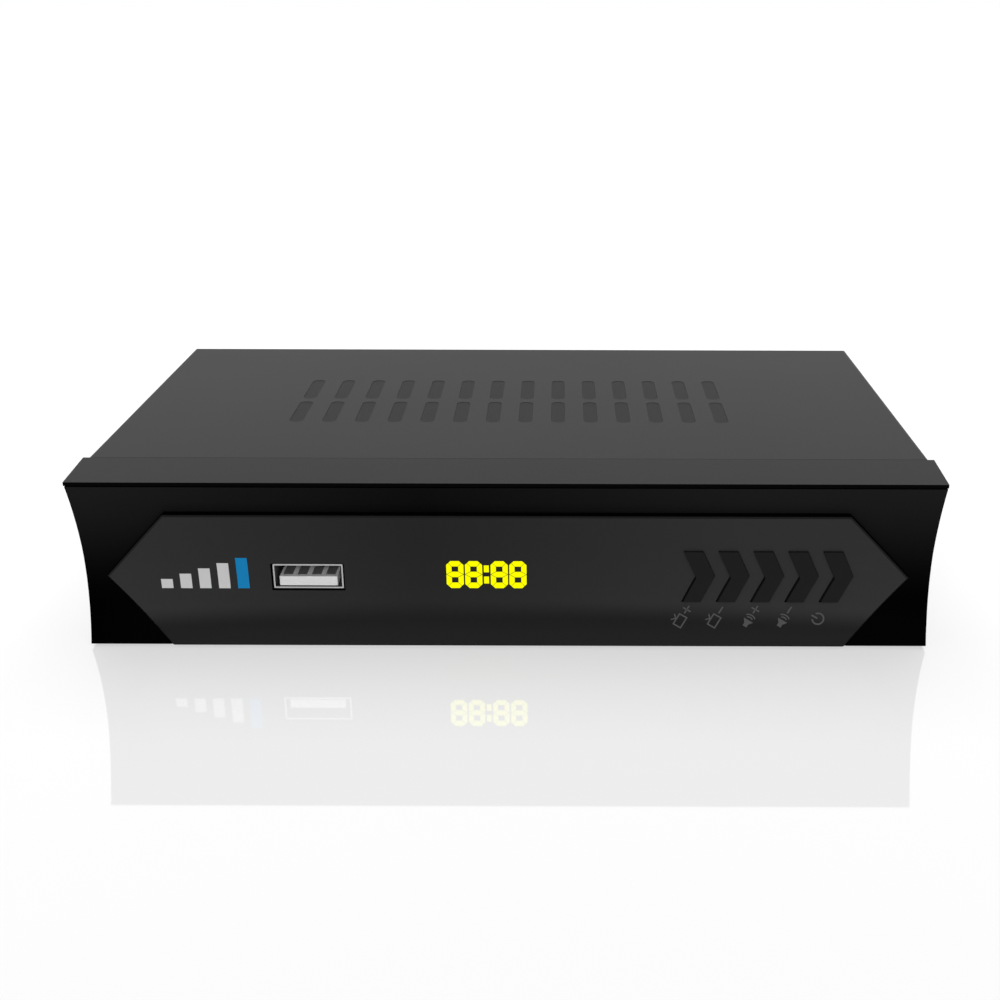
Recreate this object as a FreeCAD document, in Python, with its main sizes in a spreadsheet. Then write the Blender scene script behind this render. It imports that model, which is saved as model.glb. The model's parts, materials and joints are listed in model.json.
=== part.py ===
import FreeCAD, Part
import math
import os
import re
import Sketcher

# A satellite television receiver in a low steel case, modelled in millimetres.
# +X is to the right of someone facing the receiver, +Y runs from its front to its back and +Z is up.
# Every sketch measures Y from the front edge of the moulding's lip and Z from the floor; the bodies are
# then moved by front_shift, so that the origin lies under the middle of the whole receiver.

SIZES = {
    # sheet-metal case
    "cover_width": 168.5,
    "case_top": 36.5,
    "case_length": 96.4,
    "sheet_gauge": 0.8,
    "bend_inside": 0.1,
    "sheet_fit": 0.1,
    "flange_gap": 1.5,
    "side_flange": 9.0,
    "tray_lip": 2.8,
    "tray_front": 9.0,
    "tray_side_start": 17.5,
    # air slots in the cover and in the tray's floor
    "vent_width": 3.0,
    "vent_length": 14.4,
    "vent_corner": 0.8,
    "vent_pitch": 7.1,
    "vent_row_pitch": 16.7,
    "vent_count": 14,
    "vent_offset": 0.8,
    "vent_front_row": 43.8,
    "screen_gauge": 0.4,
    "screen_margin": 4.0,
    "floor_vent_width": 5.6,
    "floor_vent_pitch": 14.24,
    "floor_vent_count": 7,
    "floor_vent_front": 46.0,
    # rubber feet
    "foot_height": 2.4,
    "foot_radius": 6.0,
    "foot_taper": 0.6,
    "foot_margin": 13.9,
    "foot_front": 24.0,
    "foot_pitch": 60.0,
    # front moulding, hollowed out along its front face
    "moulding_depth": 13.8,
    "moulding_clear": 0.64,
    "moulding_overhang": 0.85,
    "flank_flare": 0.8,
    "moulding_wall": 1.6,
    "moulding_skin": 1.9,
    "lip_band": 0.75,
    "lip_groove": 0.4,
    "groove_depth": 1.1,
    "cove_start": 0.5,
    "cove_foot": 2.3,
    "cove_radius": 44.4,
    "ledge_reach": 3.0,
    "ledge_wall": 1.2,
    "ledge_root": 1.0,
    "ledge_low": 12.0,
    "hook_width": 8.0,
    "hook_pitch": 50.0,
    "hook_count": 3,
    "hook_front": 11.2,
    "hook_gauge": 1.4,
    "hook_barb": 0.8,
    "hook_rise": 1.3,
    "hook_play": 0.2,
    # facia plate, a long hexagon with a hollow front
    "facia_seat": 5.3,
    "facia_top": 29.25,
    "facia_margin": 4.65,
    "facia_top_step": 13.05,
    "facia_foot_step": 11.8,
    "facia_tip_rise": 15.1,
    "facia_brow": 1.0,
    "facia_foot": 2.0,
    "facia_radius": 53.0,
    "facia_edge": 0.35,
    "facia_fit": 0.1,
    # chevron buttons, their switches and their board
    "button_pitch": 6.87,
    "buttons_inset": 44.78,
    "button_rise": 15.6,
    "button_height": 11.0,
    "button_arm": 3.5,
    "button_reach": 2.55,
    "button_proud": 0.6,
    "button_gap": 0.2,
    "button_collar": 0.8,
    "collar_gauge": 1.0,
    "collar_play": 0.1,
    "stem_half": 1.3,
    "switch_side": 4.5,
    "switch_depth": 3.1,
    "plunger_half": 1.0,
    "plunger_reach": 0.8,
    "plunger_sunk": 0.9,
    "plunger_gap": 0.3,
    "switch_well": 1.8,
    "front_board_face": 14.5,
    "front_board_low": 5.4,
    "front_board_high": 30.2,
    "front_board_gap": 2.0,
    "front_board_inset": 1.65,
    "boss_radius": 2.6,
    "boss_root": 0.5,
    "boss_skin": 0.5,
    "boss_margin": 4.5,
    "boss_rise": 8.0,
    # clock display
    "digit_left": -12.2,
    "digit_low": 12.78,
    "digit_width": 3.42,
    "digit_height": 6.05,
    "digit_pitch": 3.7,
    "digit_pair_pitch": 8.78,
    "digit_side": 1.06,
    "digit_bar": 1.23,
    "digit_corner": 0.88,
    "digit_joint": 0.05,
    "colon_left": -4.76,
    "colon_width": 1.0,
    "colon_low": 13.8,
    "colon_height": 1.55,
    "colon_pitch": 2.5,
    "guide_web": 1.0,
    "module_margin": 0.9,
    "module_gap": 0.3,
    # infra-red receiver behind the facia
    "sensor_x": 17.0,
    "sensor_rise": 22.0,
    "sensor_width": 5.6,
    "sensor_height": 6.4,
    "sensor_depth": 3.4,
    "sensor_dome": 2.3,
    "lens_root": 0.5,
    "sensor_gap": 0.4,
    # front socket for a memory stick
    "usb_inset": 39.91,
    "usb_low": 12.42,
    "usb_width": 14.07,
    "usb_height": 5.42,
    "usb_wall": 0.4,
    "usb_length": 14.0,
    "usb_recess": 0.35,
    "usb_gap": 0.25,
    "usb_corner": 0.2,
    "tongue_width": 11.45,
    "tongue_gauge": 1.95,
    "tongue_rise": 0.27,
    "tongue_setback": 0.15,
    "tongue_root": 2.0,
    "contact_width": 1.95,
    "contact_pitch": 2.85,
    "contact_count": 4,
    "contact_length": 8.0,
    "contact_start": 0.9,
    "contact_sunk": 0.3,
    "contact_gauge": 0.12,
    # main board and what stands on it
    "board_gauge": 1.6,
    "board_margin": 4.3,
    "board_gap": 0.7,
    "nose_margin": 1.3,
    "nose_front": 8.2,
    "standoff_across": 5.5,
    "standoff_margin": 8.9,
    "standoff_front": 24.0,
    "standoff_back": 76.0,
    "standoff_middle": 4.5,
    "link_left": 8.0,
    "link_width": 16.0,
    "link_socket_depth": 4.0,
    "link_header_depth": 2.5,
    "link_height": 2.5,
    "link_lift": 0.95,
    "chip_side": 17.0,
    "chip_gauge": 1.4,
    "chip_x": 4.0,
    "chip_y": 52.0,
    "sink_side": 24.0,
    "sink_base": 2.0,
    "sink_height": 9.0,
    "fin_gauge": 1.2,
    "fin_count": 7,
    "memory_width": 10.0,
    "memory_length": 13.0,
    "memory_gauge": 1.1,
    "memory_y": 31.0,
    "memory_pitch": 15.0,
    "can_radius": 4.0,
    "can_height": 11.0,
    "can_margin": 21.1,
    "can_y": 40.0,
    "can_pitch": 12.0,
    "can_count": 3,
    "coil_side": 10.0,
    "coil_corner": 2.0,
    "coil_height": 5.0,
    "coil_spacing": 28.0,
    "coil_y": 52.0,
    # aerial sockets on the tuner can
    "tuner_margin": 14.1,
    "tuner_width": 37.0,
    "tuner_front": 64.0,
    "tuner_height": 14.5,
    "tuner_gap": 0.5,
    "can_gauge": 0.5,
    "aerial_inset": 9.0,
    "aerial_pitch": 19.0,
    "aerial_rise": 7.4,
    "aerial_radius": 4.75,
    "aerial_root": 4.45,
    "aerial_bore": 3.3,
    "aerial_bore_depth": 9.0,
    "aerial_reach": 10.0,
    "aerial_pin_hole": 0.7,
    "insulator_setback": 0.3,
    "nut_across": 11.0,
    "nut_gauge": 2.2,
    "nut_fit": 0.05,
    # digital picture and sound socket
    "digital_spacing": 14.0,
    "digital_width": 15.0,
    "digital_height": 5.9,
    "digital_chamfer": 2.0,
    "digital_shoulder": 1.9,
    "digital_wall": 0.45,
    "digital_length": 11.5,
    "digital_proud": 0.6,
    "blade_width": 11.4,
    "blade_gauge": 1.2,
    "blade_rise": 2.9,
    "blade_root": 1.6,
    "blade_setback": 0.9,
    # phono sockets
    "phono_spacing": 26.0,
    "phono_pitch": 14.0,
    "phono_rise": 6.4,
    "phono_block_depth": 12.0,
    "phono_block_height": 12.4,
    "phono_block_margin": 6.6,
    "phono_collar": 5.3,
    "phono_collar_reach": 1.4,
    "phono_radius": 4.15,
    "phono_wall": 0.65,
    "phono_reach": 9.0,
    "phono_sunk": 6.0,
    "phono_hole": 1.65,
    "phono_hole_depth": 11.0,
    "phono_setback": 0.6,
    # power inlet
    "jack_margin": 17.1,
    "jack_width": 9.4,
    "jack_height": 11.0,
    "jack_length": 14.0,
    "jack_proud": 0.5,
    "jack_bore": 3.15,
    "jack_bore_depth": 9.5,
    "jack_rise": 6.3,
    "jack_pin": 1.0,
    "jack_pin_setback": 0.8,
    # fasteners and clearances
    "screw_radius": 1.25,
    "screw_head": 2.5,
    "screw_head_height": 1.3,
    "screw_fit": 0.1,
    "screw_clearance": 0.35,
    "screw_length": 6.0,
    "rear_screw_margin": 10.0,
    "side_screw_rise": 5.8,
    "side_screw_y": 62.0,
    "panel_gap": 0.3,
    "cut_past": 5.0,
    "cut_margin": 1.0,
}

BUTTONS = ("channel_up", "channel_down", "volume_up", "volume_down", "power")
AERIALS = ("aerial_in", "aerial_out")
PHONOS = ("right_sound_insert", "left_sound_insert", "video_insert")

WORKED = {
    "half_cover": "cover_width / 2",
    "cover_inner": "half_cover - sheet_gauge",
    "tray_outer": "cover_inner - sheet_fit",
    "bend_outside": "bend_inside + sheet_gauge",
    "tray_flat": "tray_outer - bend_outside",
    "cover_under": "case_top - sheet_gauge",
    "cover_start": "moulding_depth + sheet_fit",
    "panel_outer": "case_length - sheet_gauge - sheet_fit",
    "panel_inner": "panel_outer - sheet_gauge",
    "tray_floor": "foot_height + sheet_gauge",
    "front_shift": "-(panel_outer + aerial_reach) / 2",
    "board_top": "usb_low",
    "board_low": "board_top - board_gauge",
    "board_back": "panel_inner - board_gap",
    "board_half": "tray_outer - sheet_gauge - board_margin",
    "standoff_x": "tray_flat - standoff_margin",
    "foot_x": "tray_flat - foot_margin",
    "front_board_back": "front_board_face + board_gauge",
    "board_front": "front_board_back + board_gap",
    "moulding_half": "half_cover + moulding_overhang",
    "moulding_front_half": "moulding_half - flank_flare",
    "skin_back": "facia_seat + moulding_skin",
    "facia_tip_half": "moulding_front_half - facia_margin",
    "facia_top_half": "facia_tip_half - facia_top_step",
    "facia_foot_half": "facia_tip_half - facia_foot_step",
    "facia_slope": "(facia_tip_half - facia_foot_half) / (facia_tip_rise - moulding_clear)",
    "facia_lean": "sqrt(1 + facia_slope^2)",
    "face_chord": "sqrt((facia_brow - facia_foot)^2 + (facia_top - moulding_clear)^2)",
    "face_drop": "sqrt(facia_radius^2 - (face_chord / 2)^2)",
    "face_axis_y": "(facia_brow + facia_foot) / 2 - face_drop * (facia_top - moulding_clear) / face_chord",
    "face_axis_z": "(facia_top + moulding_clear) / 2 + face_drop * (facia_brow - facia_foot) / face_chord",
    "chevron_slant": "sqrt(1 + (2 * button_reach / button_height)^2)",
    "button_left": "facia_tip_half - buttons_inset",
    "stem_x": "button_left + button_reach + button_arm / 2",
    "collar_front": "skin_back + collar_play",
    "collar_back": "collar_front + collar_gauge",
    "switch_front": "front_board_face - switch_depth",
    "plunger_front": "switch_front - plunger_reach",
    "digits_right": "digit_left + digit_pitch + digit_pair_pitch + digit_width",
    "digit_top": "digit_low + digit_height",
    "web_back": "facia_seat + guide_web",
    "usb_x": "usb_inset - facia_tip_half",
    "usb_right": "usb_x + usb_width / 2",
    "front_board_left": "usb_right + front_board_gap",
    "front_board_right": "facia_tip_half - front_board_inset",
    "boss_left": "front_board_left + boss_margin",
    "boss_right": "front_board_right - boss_margin",
    "nose_half": "usb_width / 2 + nose_margin",
    "usb_middle": "usb_low + usb_height / 2",
    "usb_face": "face_axis_y + sqrt(facia_radius^2 - (usb_middle - face_axis_z)^2) + usb_recess",
    "tongue_low": "usb_low + usb_wall + tongue_rise",
    "tongue_top": "tongue_low + tongue_gauge",
    "tongue_front": "usb_face + tongue_setback",
    "contact_left": "usb_x - contact_pitch * (contact_count - 1) / 2",
    "tuner_right": "tray_outer - tuner_margin",
    "tuner_left": "tuner_right - tuner_width",
    "tuner_back": "panel_inner - tuner_gap",
    "aerial_x": "tuner_left + aerial_inset",
    "aerial_z": "board_top + aerial_rise",
    "aerial_tip": "panel_outer + aerial_reach",
    "nut_back": "panel_outer + nut_gauge",
    "flange_low": "aerial_z + nut_across / 2 + flange_gap",
    "rear_screw_x": "half_cover - rear_screw_margin",
    "rear_screw_z": "(case_top + flange_low) / 2",
    "digital_x": "tuner_left - digital_spacing",
    "phono_x": f"digital_x - phono_spacing - {len(PHONOS) - 1} * phono_pitch",
    "phono_z": "board_top + phono_rise",
    "phono_block_back": "panel_inner - tuner_gap",
    "phono_root": "phono_block_back - phono_sunk",
    "phono_tip": "panel_outer + phono_reach",
    "collar_face": "panel_outer + phono_collar_reach",
    "phono_inside": "phono_radius - phono_wall",
    "jack_x": "jack_margin - tray_outer",
    "jack_face": "panel_outer + jack_proud",
    "jack_z": "board_top + jack_rise",
    "digital_face": "panel_outer + digital_proud",
    "chip_top": "board_top + chip_gauge",
    "can_x": "can_margin - tray_outer",
    "coil_x": "can_x + coil_spacing",
    "vent_left": "-vent_pitch * (vent_count - 1) / 2 - vent_offset",
    "vent_right": "vent_left + vent_pitch * (vent_count - 1)",
    "floor_vent_left": "-floor_vent_pitch * (floor_vent_count - 1) / 2",
}

# where the screws sit: rear and front ones across and up, board ones across and along, side ones along and up
REAR_SCREWS = [("-rear_screw_x", "rear_screw_z"), ("rear_screw_x", "rear_screw_z")]
FRONT_SCREWS = [("boss_left", "boss_rise"), ("boss_right", "boss_rise")]
BOARD_SCREWS = [("-standoff_x", "standoff_front"), ("standoff_x", "standoff_front"),
                ("standoff_middle", "standoff_back")]
SIDE_SCREW = ("side_screw_y", "foot_height + side_screw_rise")

PLANES = {"flat": "XY_Plane", "front": "XZ_Plane", "side": "YZ_Plane"}
AXES = {"x": "X_Axis", "y": "Y_Axis", "z": "Z_Axis"}
WORD = re.compile(r"[a-z][a-z_]+")

doc = FreeCAD.newDocument("SatelliteReceiver")
sizes = doc.addObject("Spreadsheet::Sheet", "Sizes")
worked = doc.addObject("Spreadsheet::Sheet", "Worked")
pieces = []


def tied(text, home=""):
    """The expression with each size's name led by the sheet that holds it."""
    def lead(found):
        name = found.group(0)
        if name in SIZES:
            return "Sizes." + name
        if name in WORKED and home != "Worked":
            return "Worked." + name
        return name
    return WORD.sub(lead, text)


def fill_sheets():
    for row, (name, size) in enumerate(SIZES.items(), 1):
        sizes.set(f"A{row}", name)
        sizes.set(f"B{row}", str(size))
        sizes.setAlias(f"B{row}", name)
    doc.recompute()
    for row, (name, formula) in enumerate(WORKED.items(), 1):
        worked.set(f"A{row}", name)
        worked.set(f"B{row}", "=" + tied(formula, "Worked"))
        worked.setAlias(f"B{row}", name)
    doc.recompute()


def value(text):
    return float(sizes.evalExpression(tied(text)))


# ---- drawing: a corner is a pair of expressions; an arc leaves one that also gives radius and turn ----

def arc_between(start, end, radius, turn):
    """The shorter arc from start to end, turning left (1) or right (-1)."""
    chord = end - start
    rise = math.sqrt(max(radius ** 2 - (chord.Length / 2) ** 2, 0.0))
    across = FreeCAD.Vector(-chord.y, chord.x, 0).normalize()
    middle = (start + end) / 2 + across * rise * turn
    first, last = (start, end) if turn > 0 else (end, start)
    from_angle = math.atan2(first.y - middle.y, first.x - middle.x)
    to_angle = math.atan2(last.y - middle.y, last.x - middle.x)
    if to_angle < from_angle:
        to_angle += 2 * math.pi
    circle = Part.Circle(middle, FreeCAD.Vector(0, 0, 1), radius)
    return Part.ArcOfCircle(circle, from_angle, to_angle)


def draw(body, name, plane, level, loops, discs=()):
    """A sketch on one of the body's own planes, at the place along the plane's axis that level gives."""
    sketch = body.newObject("Sketcher::SketchObject", name)
    datum = next(item for item in body.Origin.OriginFeatures if item.Role == PLANES[plane])
    sketch.AttachmentSupport = [(datum, "")]
    sketch.MapMode = "FlatFace"
    sign = "-" if plane == "front" else ""
    sketch.setExpression("AttachmentOffset.Base.z", tied(f"{sign}({level})"))
    shapes, rules, ties = [], [], []

    def rule(kind, *where, tie):
        ties.append((len(rules), tie))
        rules.append(Sketcher.Constraint(kind, *where, value(tie)))

    for corners in loops:
        first = len(shapes)
        spots = [FreeCAD.Vector(value(corner[0]), value(corner[1]), 0) for corner in corners]
        ends = []
        for index, corner in enumerate(corners):
            start, end = spots[index], spots[(index + 1) % len(corners)]
            if len(corner) == 2:
                shapes.append(Part.LineSegment(start, end))
                ends.append((1, 2))
            else:
                shapes.append(arc_between(start, end, value(corner[2]), corner[3]))
                ends.append((1, 2) if corner[3] > 0 else (2, 1))
        for index, corner in enumerate(corners):
            line, point = first + index, ends[index][0]
            before = (index - 1) % len(corners)
            rules.append(Sketcher.Constraint("Coincident", first + before, ends[before][1], line, point))
            rule("DistanceX", -1, 1, line, point, tie=corner[0])
            rule("DistanceY", -1, 1, line, point, tie=corner[1])
            if len(corner) > 2:
                rule("Radius", line, tie=corner[2])
    for across, up, radius in discs:
        line = len(shapes)
        spot = FreeCAD.Vector(value(across), value(up), 0)
        shapes.append(Part.Circle(spot, FreeCAD.Vector(0, 0, 1), value(radius)))
        rule("DistanceX", -1, 1, line, 3, tie=across)
        rule("DistanceY", -1, 1, line, 3, tie=up)
        rule("Radius", line, tie=radius)
    sketch.addGeometry(shapes, False)
    sketch.addConstraint(rules)
    for index, tie in ties:
        sketch.setExpression(f"Constraints[{index}]", tied(tie))
    return sketch


def box(left, low, right, high):
    return [(left, low), (right, low), (right, high), (left, high)]


def round_box(left, low, right, high, radius):
    """A rectangle with round corners, drawn anticlockwise."""
    return [
        (f"{left} + {radius}", low), (f"{right} - {radius}", low, radius, 1),
        (right, f"{low} + {radius}"), (right, f"{high} - {radius}", radius, 1),
        (f"{right} - {radius}", high), (f"{left} + {radius}", high, radius, 1),
        (left, f"{high} - {radius}"), (left, f"{low} + {radius}", radius, 1),
    ]


def cut_box(left, low, right, high, corner):
    """A rectangle with its corners cut off, drawn anticlockwise."""
    return [
        (f"{left} + {corner}", low), (f"{right} - {corner}", low),
        (right, f"{low} + {corner}"), (right, f"{high} - {corner}"),
        (f"{right} - {corner}", high), (f"{left} + {corner}", high),
        (left, f"{high} - {corner}"), (left, f"{low} + {corner}"),
    ]


def square(across, up, half):
    return box(f"{across} - {half}", f"{up} - {half}", f"{across} + {half}", f"{up} + {half}")


def hexagon(across, up, flats):
    """A nut's outline from its width across the flats."""
    corner = f"{flats} / sqrt(3)"
    half = f"{flats} / 2"
    return [
        (f"{across} + {corner}", up), (f"{across} + {corner} / 2", f"{up} + {half}"),
        (f"{across} - {corner} / 2", f"{up} + {half}"), (f"{across} - {corner}", up),
        (f"{across} - {corner} / 2", f"{up} - {half}"), (f"{across} + {corner} / 2", f"{up} - {half}"),
    ]


def chevron(grow, left="button_left"):
    """A button's outline, grown by the same distance all round."""
    half = "button_height / 2"
    slip = f"button_reach * ({grow}) / ({half})"
    push = f"({grow}) * chevron_slant"
    top, foot = f"button_rise + {half} + {grow}", f"button_rise - {half} - ({grow})"
    return [
        (f"{left} - {push} - {slip}", top),
        (f"{left} + button_reach - {push}", "button_rise"),
        (f"{left} - {push} - {slip}", foot),
        (f"{left} + button_arm + {push} - {slip}", foot),
        (f"{left} + button_arm + button_reach + {push}", "button_rise"),
        (f"{left} + button_arm + {push} - {slip}", top),
    ]


def digit_segments(left):
    """The seven bars of one figure, drawn from its left edge."""
    right, top, middle = f"({left} + digit_width)", "digit_top", "(digit_low + digit_height / 2)"
    slope = "digit_bar / digit_side"
    over = f"(digit_corner + digit_joint) / (1 + {slope})"
    under = f"(digit_corner - digit_joint) / (1 + {slope})"
    inner = "digit_side + digit_joint * digit_side / digit_bar"
    tip = "2 * digit_joint * digit_side / digit_bar"

    def level_bar(edge, sign):
        return [
            (f"{left} + {over}", f"{edge} - {sign} * (digit_corner - {over})"),
            (f"{left} + digit_corner", edge),
            (f"{right} - digit_corner", edge),
            (f"{right} - {over}", f"{edge} - {sign} * (digit_corner - {over})"),
            (f"{right} - ({inner})", f"{edge} - {sign} * digit_bar"),
            (f"{left} + {inner}", f"{edge} - {sign} * digit_bar"),
        ]

    def side_bar(edge, inward, end, sign):
        return [
            (edge, f"{end} - {sign} * digit_corner"),
            (f"{edge} + {inward} * {under}", f"{end} - {sign} * (digit_corner - {under})"),
            (f"{edge} + {inward} * digit_side", f"{end} - {sign} * (digit_bar + digit_joint)"),
            (f"{edge} + {inward} * digit_side", f"{middle} + {sign} * (digit_bar / 2 + digit_joint)"),
            (edge, f"{middle} + {sign} * digit_joint"),
        ]

    middle_bar = [
        (f"{left} + {tip}", middle),
        (f"{left} + digit_side + {tip}", f"{middle} + digit_bar / 2"),
        (f"{right} - digit_side - {tip}", f"{middle} + digit_bar / 2"),
        (f"{right} - {tip}", middle),
        (f"{right} - digit_side - {tip}", f"{middle} - digit_bar / 2"),
        (f"{left} + digit_side + {tip}", f"{middle} - digit_bar / 2"),
    ]
    sides = [side_bar(edge, inward, end, sign)
             for edge, inward in ((left, "1"), (right, "(-1)"))
             for end, sign in ((top, "1"), ("digit_low", "(-1)"))]
    return [level_bar(top, "1"), level_bar("digit_low", "(-1)"), middle_bar] + sides


# ---- features ----

def new_piece(label):
    body = doc.addObject("PartDesign::Body", label)
    body.Label = label
    body.AllowCompound = True
    body.setExpression("Placement.Base.y", tied("front_shift"))
    pieces.append(body)
    return body


def pad(body, name, plane, low, high, loops=(), discs=()):
    """Adds the drawn outline between two places along the plane's axis."""
    made = body.newObject("PartDesign::Pad", name)
    made.Profile = draw(body, name + "_sketch", plane, low, loops, discs)
    made.Reversed = plane == "front"
    made.setExpression("Length", tied(f"({high}) - ({low})"))
    doc.recompute()
    return made


def pocket(body, name, plane, low, high, loops=(), discs=()):
    """Cuts the drawn outline away between two places along the plane's axis."""
    before = body.Shape.Volume
    made = body.newObject("PartDesign::Pocket", name)
    made.Profile = draw(body, name + "_sketch", plane, low, loops, discs)
    made.Reversed = plane != "front"
    made.setExpression("Length", tied(f"({high}) - ({low})"))
    doc.recompute()
    if not body.Shape.Volume < before:
        raise ValueError(f"{body.Label}: {name} cuts nothing")
    return made


def revolve(body, name, profile, x, y, z="0"):
    """Turns a profile of (radius, height) corners about an upright axis through x and y."""
    made = body.newObject("PartDesign::Revolution", name)
    sketch = draw(body, name + "_sketch", "front", y, [[(f"{x} + {corner[0]}", f"{z} + {corner[1]}")
                                                        + tuple(corner[2:]) for corner in profile]])
    line = sketch.addGeometry(Part.LineSegment(FreeCAD.Vector(value(x), 0, 0),
                                               FreeCAD.Vector(value(x), 1, 0)), True)
    for point, up in ((1, 0.0), (2, 1.0)):
        rule = sketch.addConstraint(Sketcher.Constraint("DistanceX", -1, 1, line, point, value(x)))
        sketch.setExpression(f"Constraints[{rule}]", tied(x))
        sketch.addConstraint(Sketcher.Constraint("DistanceY", -1, 1, line, point, up))
    made.Profile = sketch
    made.ReferenceAxis = (sketch, ["Axis0"])
    made.Angle = 360
    doc.recompute()
    return made


def repeat(body, feature, axis, count, pitch, second=None):
    """A row of the feature, or a grid of it where a second axis, count and pitch are given."""
    row = body.newObject("PartDesign::LinearPattern", feature.Name + "_row")
    row.Originals = [feature]
    origin = {item.Role: item for item in body.Origin.OriginFeatures}
    row.Direction = (origin[AXES[axis]], [""])
    row.Mode = "Spacing"
    row.setExpression("Occurrences", tied(count))
    row.setExpression("Offset", tied(pitch))
    if second:
        row.Direction2 = (origin[AXES[second[0]]], [""])
        row.Mode2 = "Spacing"
        row.setExpression("Occurrences2", tied(second[1]))
        row.setExpression("Offset2", tied(second[2]))
        row.Spacings2 = [-1.0] * (int(value(second[1])) - 1)
    body.Tip = row
    doc.recompute()
    return row


def face_y(rise, inset="0"):
    """How far back the facia's hollow face lies at a height, or a face set in from it."""
    return f"face_axis_y + sqrt((facia_radius + {inset})^2 - ({rise} - face_axis_z)^2)"


def trim_to_face(body, left, right, inset="0"):
    """Cuts a piece back to the facia's hollow face, or to a face set in from it."""
    top, foot = "(facia_top + cut_margin)", "(moulding_clear - cut_margin)"
    pocket(body, body.Label + "_face", "side", left, right, [[
        ("-cut_past", foot),
        (face_y(foot, inset), foot, f"facia_radius + {inset}", 1),
        (face_y(top, inset), top),
        ("-cut_past", top),
    ]])


# ---- the steel case ----

def make_top_cover():
    body = new_piece("top_cover")
    low = "foot_height"
    outer, inner = "bend_outside", "bend_inside"
    shoulder = "case_top - bend_outside"
    profile = [
        ("-half_cover", low), ("-half_cover", shoulder, outer, -1),
        ("-half_cover + bend_outside", "case_top"),
        ("half_cover - bend_outside", "case_top", outer, -1),
        ("half_cover", shoulder), ("half_cover", low),
        ("cover_inner", low), ("cover_inner", shoulder, inner, 1),
        ("half_cover - bend_outside", "cover_under"),
        ("-half_cover + bend_outside", "cover_under", inner, 1),
        ("-cover_inner", shoulder), ("-cover_inner", low),
    ]
    pad(body, "cover_sheet", "front", "cover_start", "case_length - bend_outside", [profile])
    flange = [
        ("case_length - bend_outside", "case_top", outer, -1),
        ("case_length", shoulder), ("case_length", "flange_low"),
        ("case_length - sheet_gauge", "flange_low"),
        ("case_length - sheet_gauge", shoulder, inner, 1),
        ("case_length - bend_outside", "cover_under"),
    ]
    pad(body, "cover_flange", "side", "-half_cover", "half_cover", [flange])
    pocket(body, "cover_corners", "front", "case_length - bend_outside", "case_length + cut_margin", [[
        (f"{side}half_cover", shoulder, outer, turn),
        (f"{side}(half_cover - bend_outside)", "case_top"),
        (f"{side}half_cover", "case_top")] for side, turn in (("-", -1), ("", 1))])
    vent = cut_box("vent_left - vent_width / 2", "vent_front_row - vent_length / 2",
                   "vent_left + vent_width / 2", "vent_front_row + vent_length / 2", "vent_corner")
    slot = pocket(body, "cover_vent", "flat", "cover_under - cut_margin", "case_top + cut_margin", [vent])
    repeat(body, slot, "x", "vent_count", "vent_pitch", ("y", "2", "vent_row_pitch"))
    hole = "screw_radius + screw_clearance"
    pocket(body, "cover_rear_holes", "front",
           "case_length - sheet_gauge - cut_margin", "case_length + cut_margin",
           discs=[(across, up, hole) for across, up in REAR_SCREWS])
    pocket(body, "cover_side_holes", "side", "-half_cover - cut_margin", "half_cover + cut_margin",
           discs=[SIDE_SCREW + (hole,)])


def make_dust_screen():
    body = new_piece("dust_screen")
    reach = "(vent_width / 2 + screen_margin)"
    pad(body, "screen_sheet", "flat", "cover_under - screen_gauge", "cover_under", [box(
        f"vent_left - {reach}", "vent_front_row - vent_length / 2 - screen_margin",
        f"vent_right + {reach}", "vent_front_row + vent_row_pitch + vent_length / 2 + screen_margin")])


def make_chassis_tray():
    body = new_piece("chassis_tray")
    low, floor, inner, outer = "foot_height", "tray_floor", "bend_inside", "bend_outside"
    bottom_bend = "foot_height + bend_outside"
    length = [
        ("tray_front", bottom_bend, outer, 1), ("tray_front + bend_outside", low),
        ("panel_outer - bend_outside", low, outer, 1), ("panel_outer", bottom_bend),
        ("panel_outer", "cover_under - bend_inside"), ("panel_inner", "cover_under - bend_inside"),
        ("panel_inner", bottom_bend, inner, -1), ("panel_outer - bend_outside", floor),
        ("tray_front + bend_outside", floor, inner, -1), ("tray_front + sheet_gauge", bottom_bend),
        ("tray_front + sheet_gauge", "foot_height + tray_lip"), ("tray_front", "foot_height + tray_lip"),
    ]
    pad(body, "tray_sheet", "side", "-tray_flat", "tray_flat", [length])
    for side in ("-", ""):
        turn = 1 if side else -1
        flange = [
            (f"{side}tray_flat", low, outer, -turn), (f"{side}tray_outer", bottom_bend),
            (f"{side}tray_outer", "foot_height + side_flange"),
            (f"{side}(tray_outer - sheet_gauge)", "foot_height + side_flange"),
            (f"{side}(tray_outer - sheet_gauge)", bottom_bend, inner, turn),
            (f"{side}tray_flat", floor),
        ]
        pad(body, "tray_flange_left" if side else "tray_flange_right", "front",
            "tray_side_start", "panel_inner - bend_outside", [flange])
    cut_tray_floor(body)
    cut_rear_panel(body)


def cut_tray_floor(body):
    """Air slots under the boards, slots for the moulding's hooks and holes for the side screws."""
    below, above = "foot_height - cut_margin", "tray_floor + cut_margin / 2"
    slot = pocket(body, "floor_vent", "flat", below, above, [box(
        "floor_vent_left - floor_vent_width / 2", "floor_vent_front",
        "floor_vent_left + floor_vent_width / 2", "floor_vent_front + vent_length")])
    repeat(body, slot, "x", "floor_vent_count", "floor_vent_pitch")
    left = "-hook_pitch * (hook_count - 1) / 2"
    hook = pocket(body, "hook_slot", "flat", below, above, [box(
        f"{left} - hook_width / 2 - hook_play", "hook_front - hook_play",
        f"{left} + hook_width / 2 + hook_play", "hook_front + hook_gauge + hook_play")])
    repeat(body, hook, "x", "hook_count", "hook_pitch")
    pocket(body, "tray_side_holes", "side", "-half_cover", "half_cover",
           discs=[SIDE_SCREW + ("screw_radius + screw_fit",)])


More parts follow.
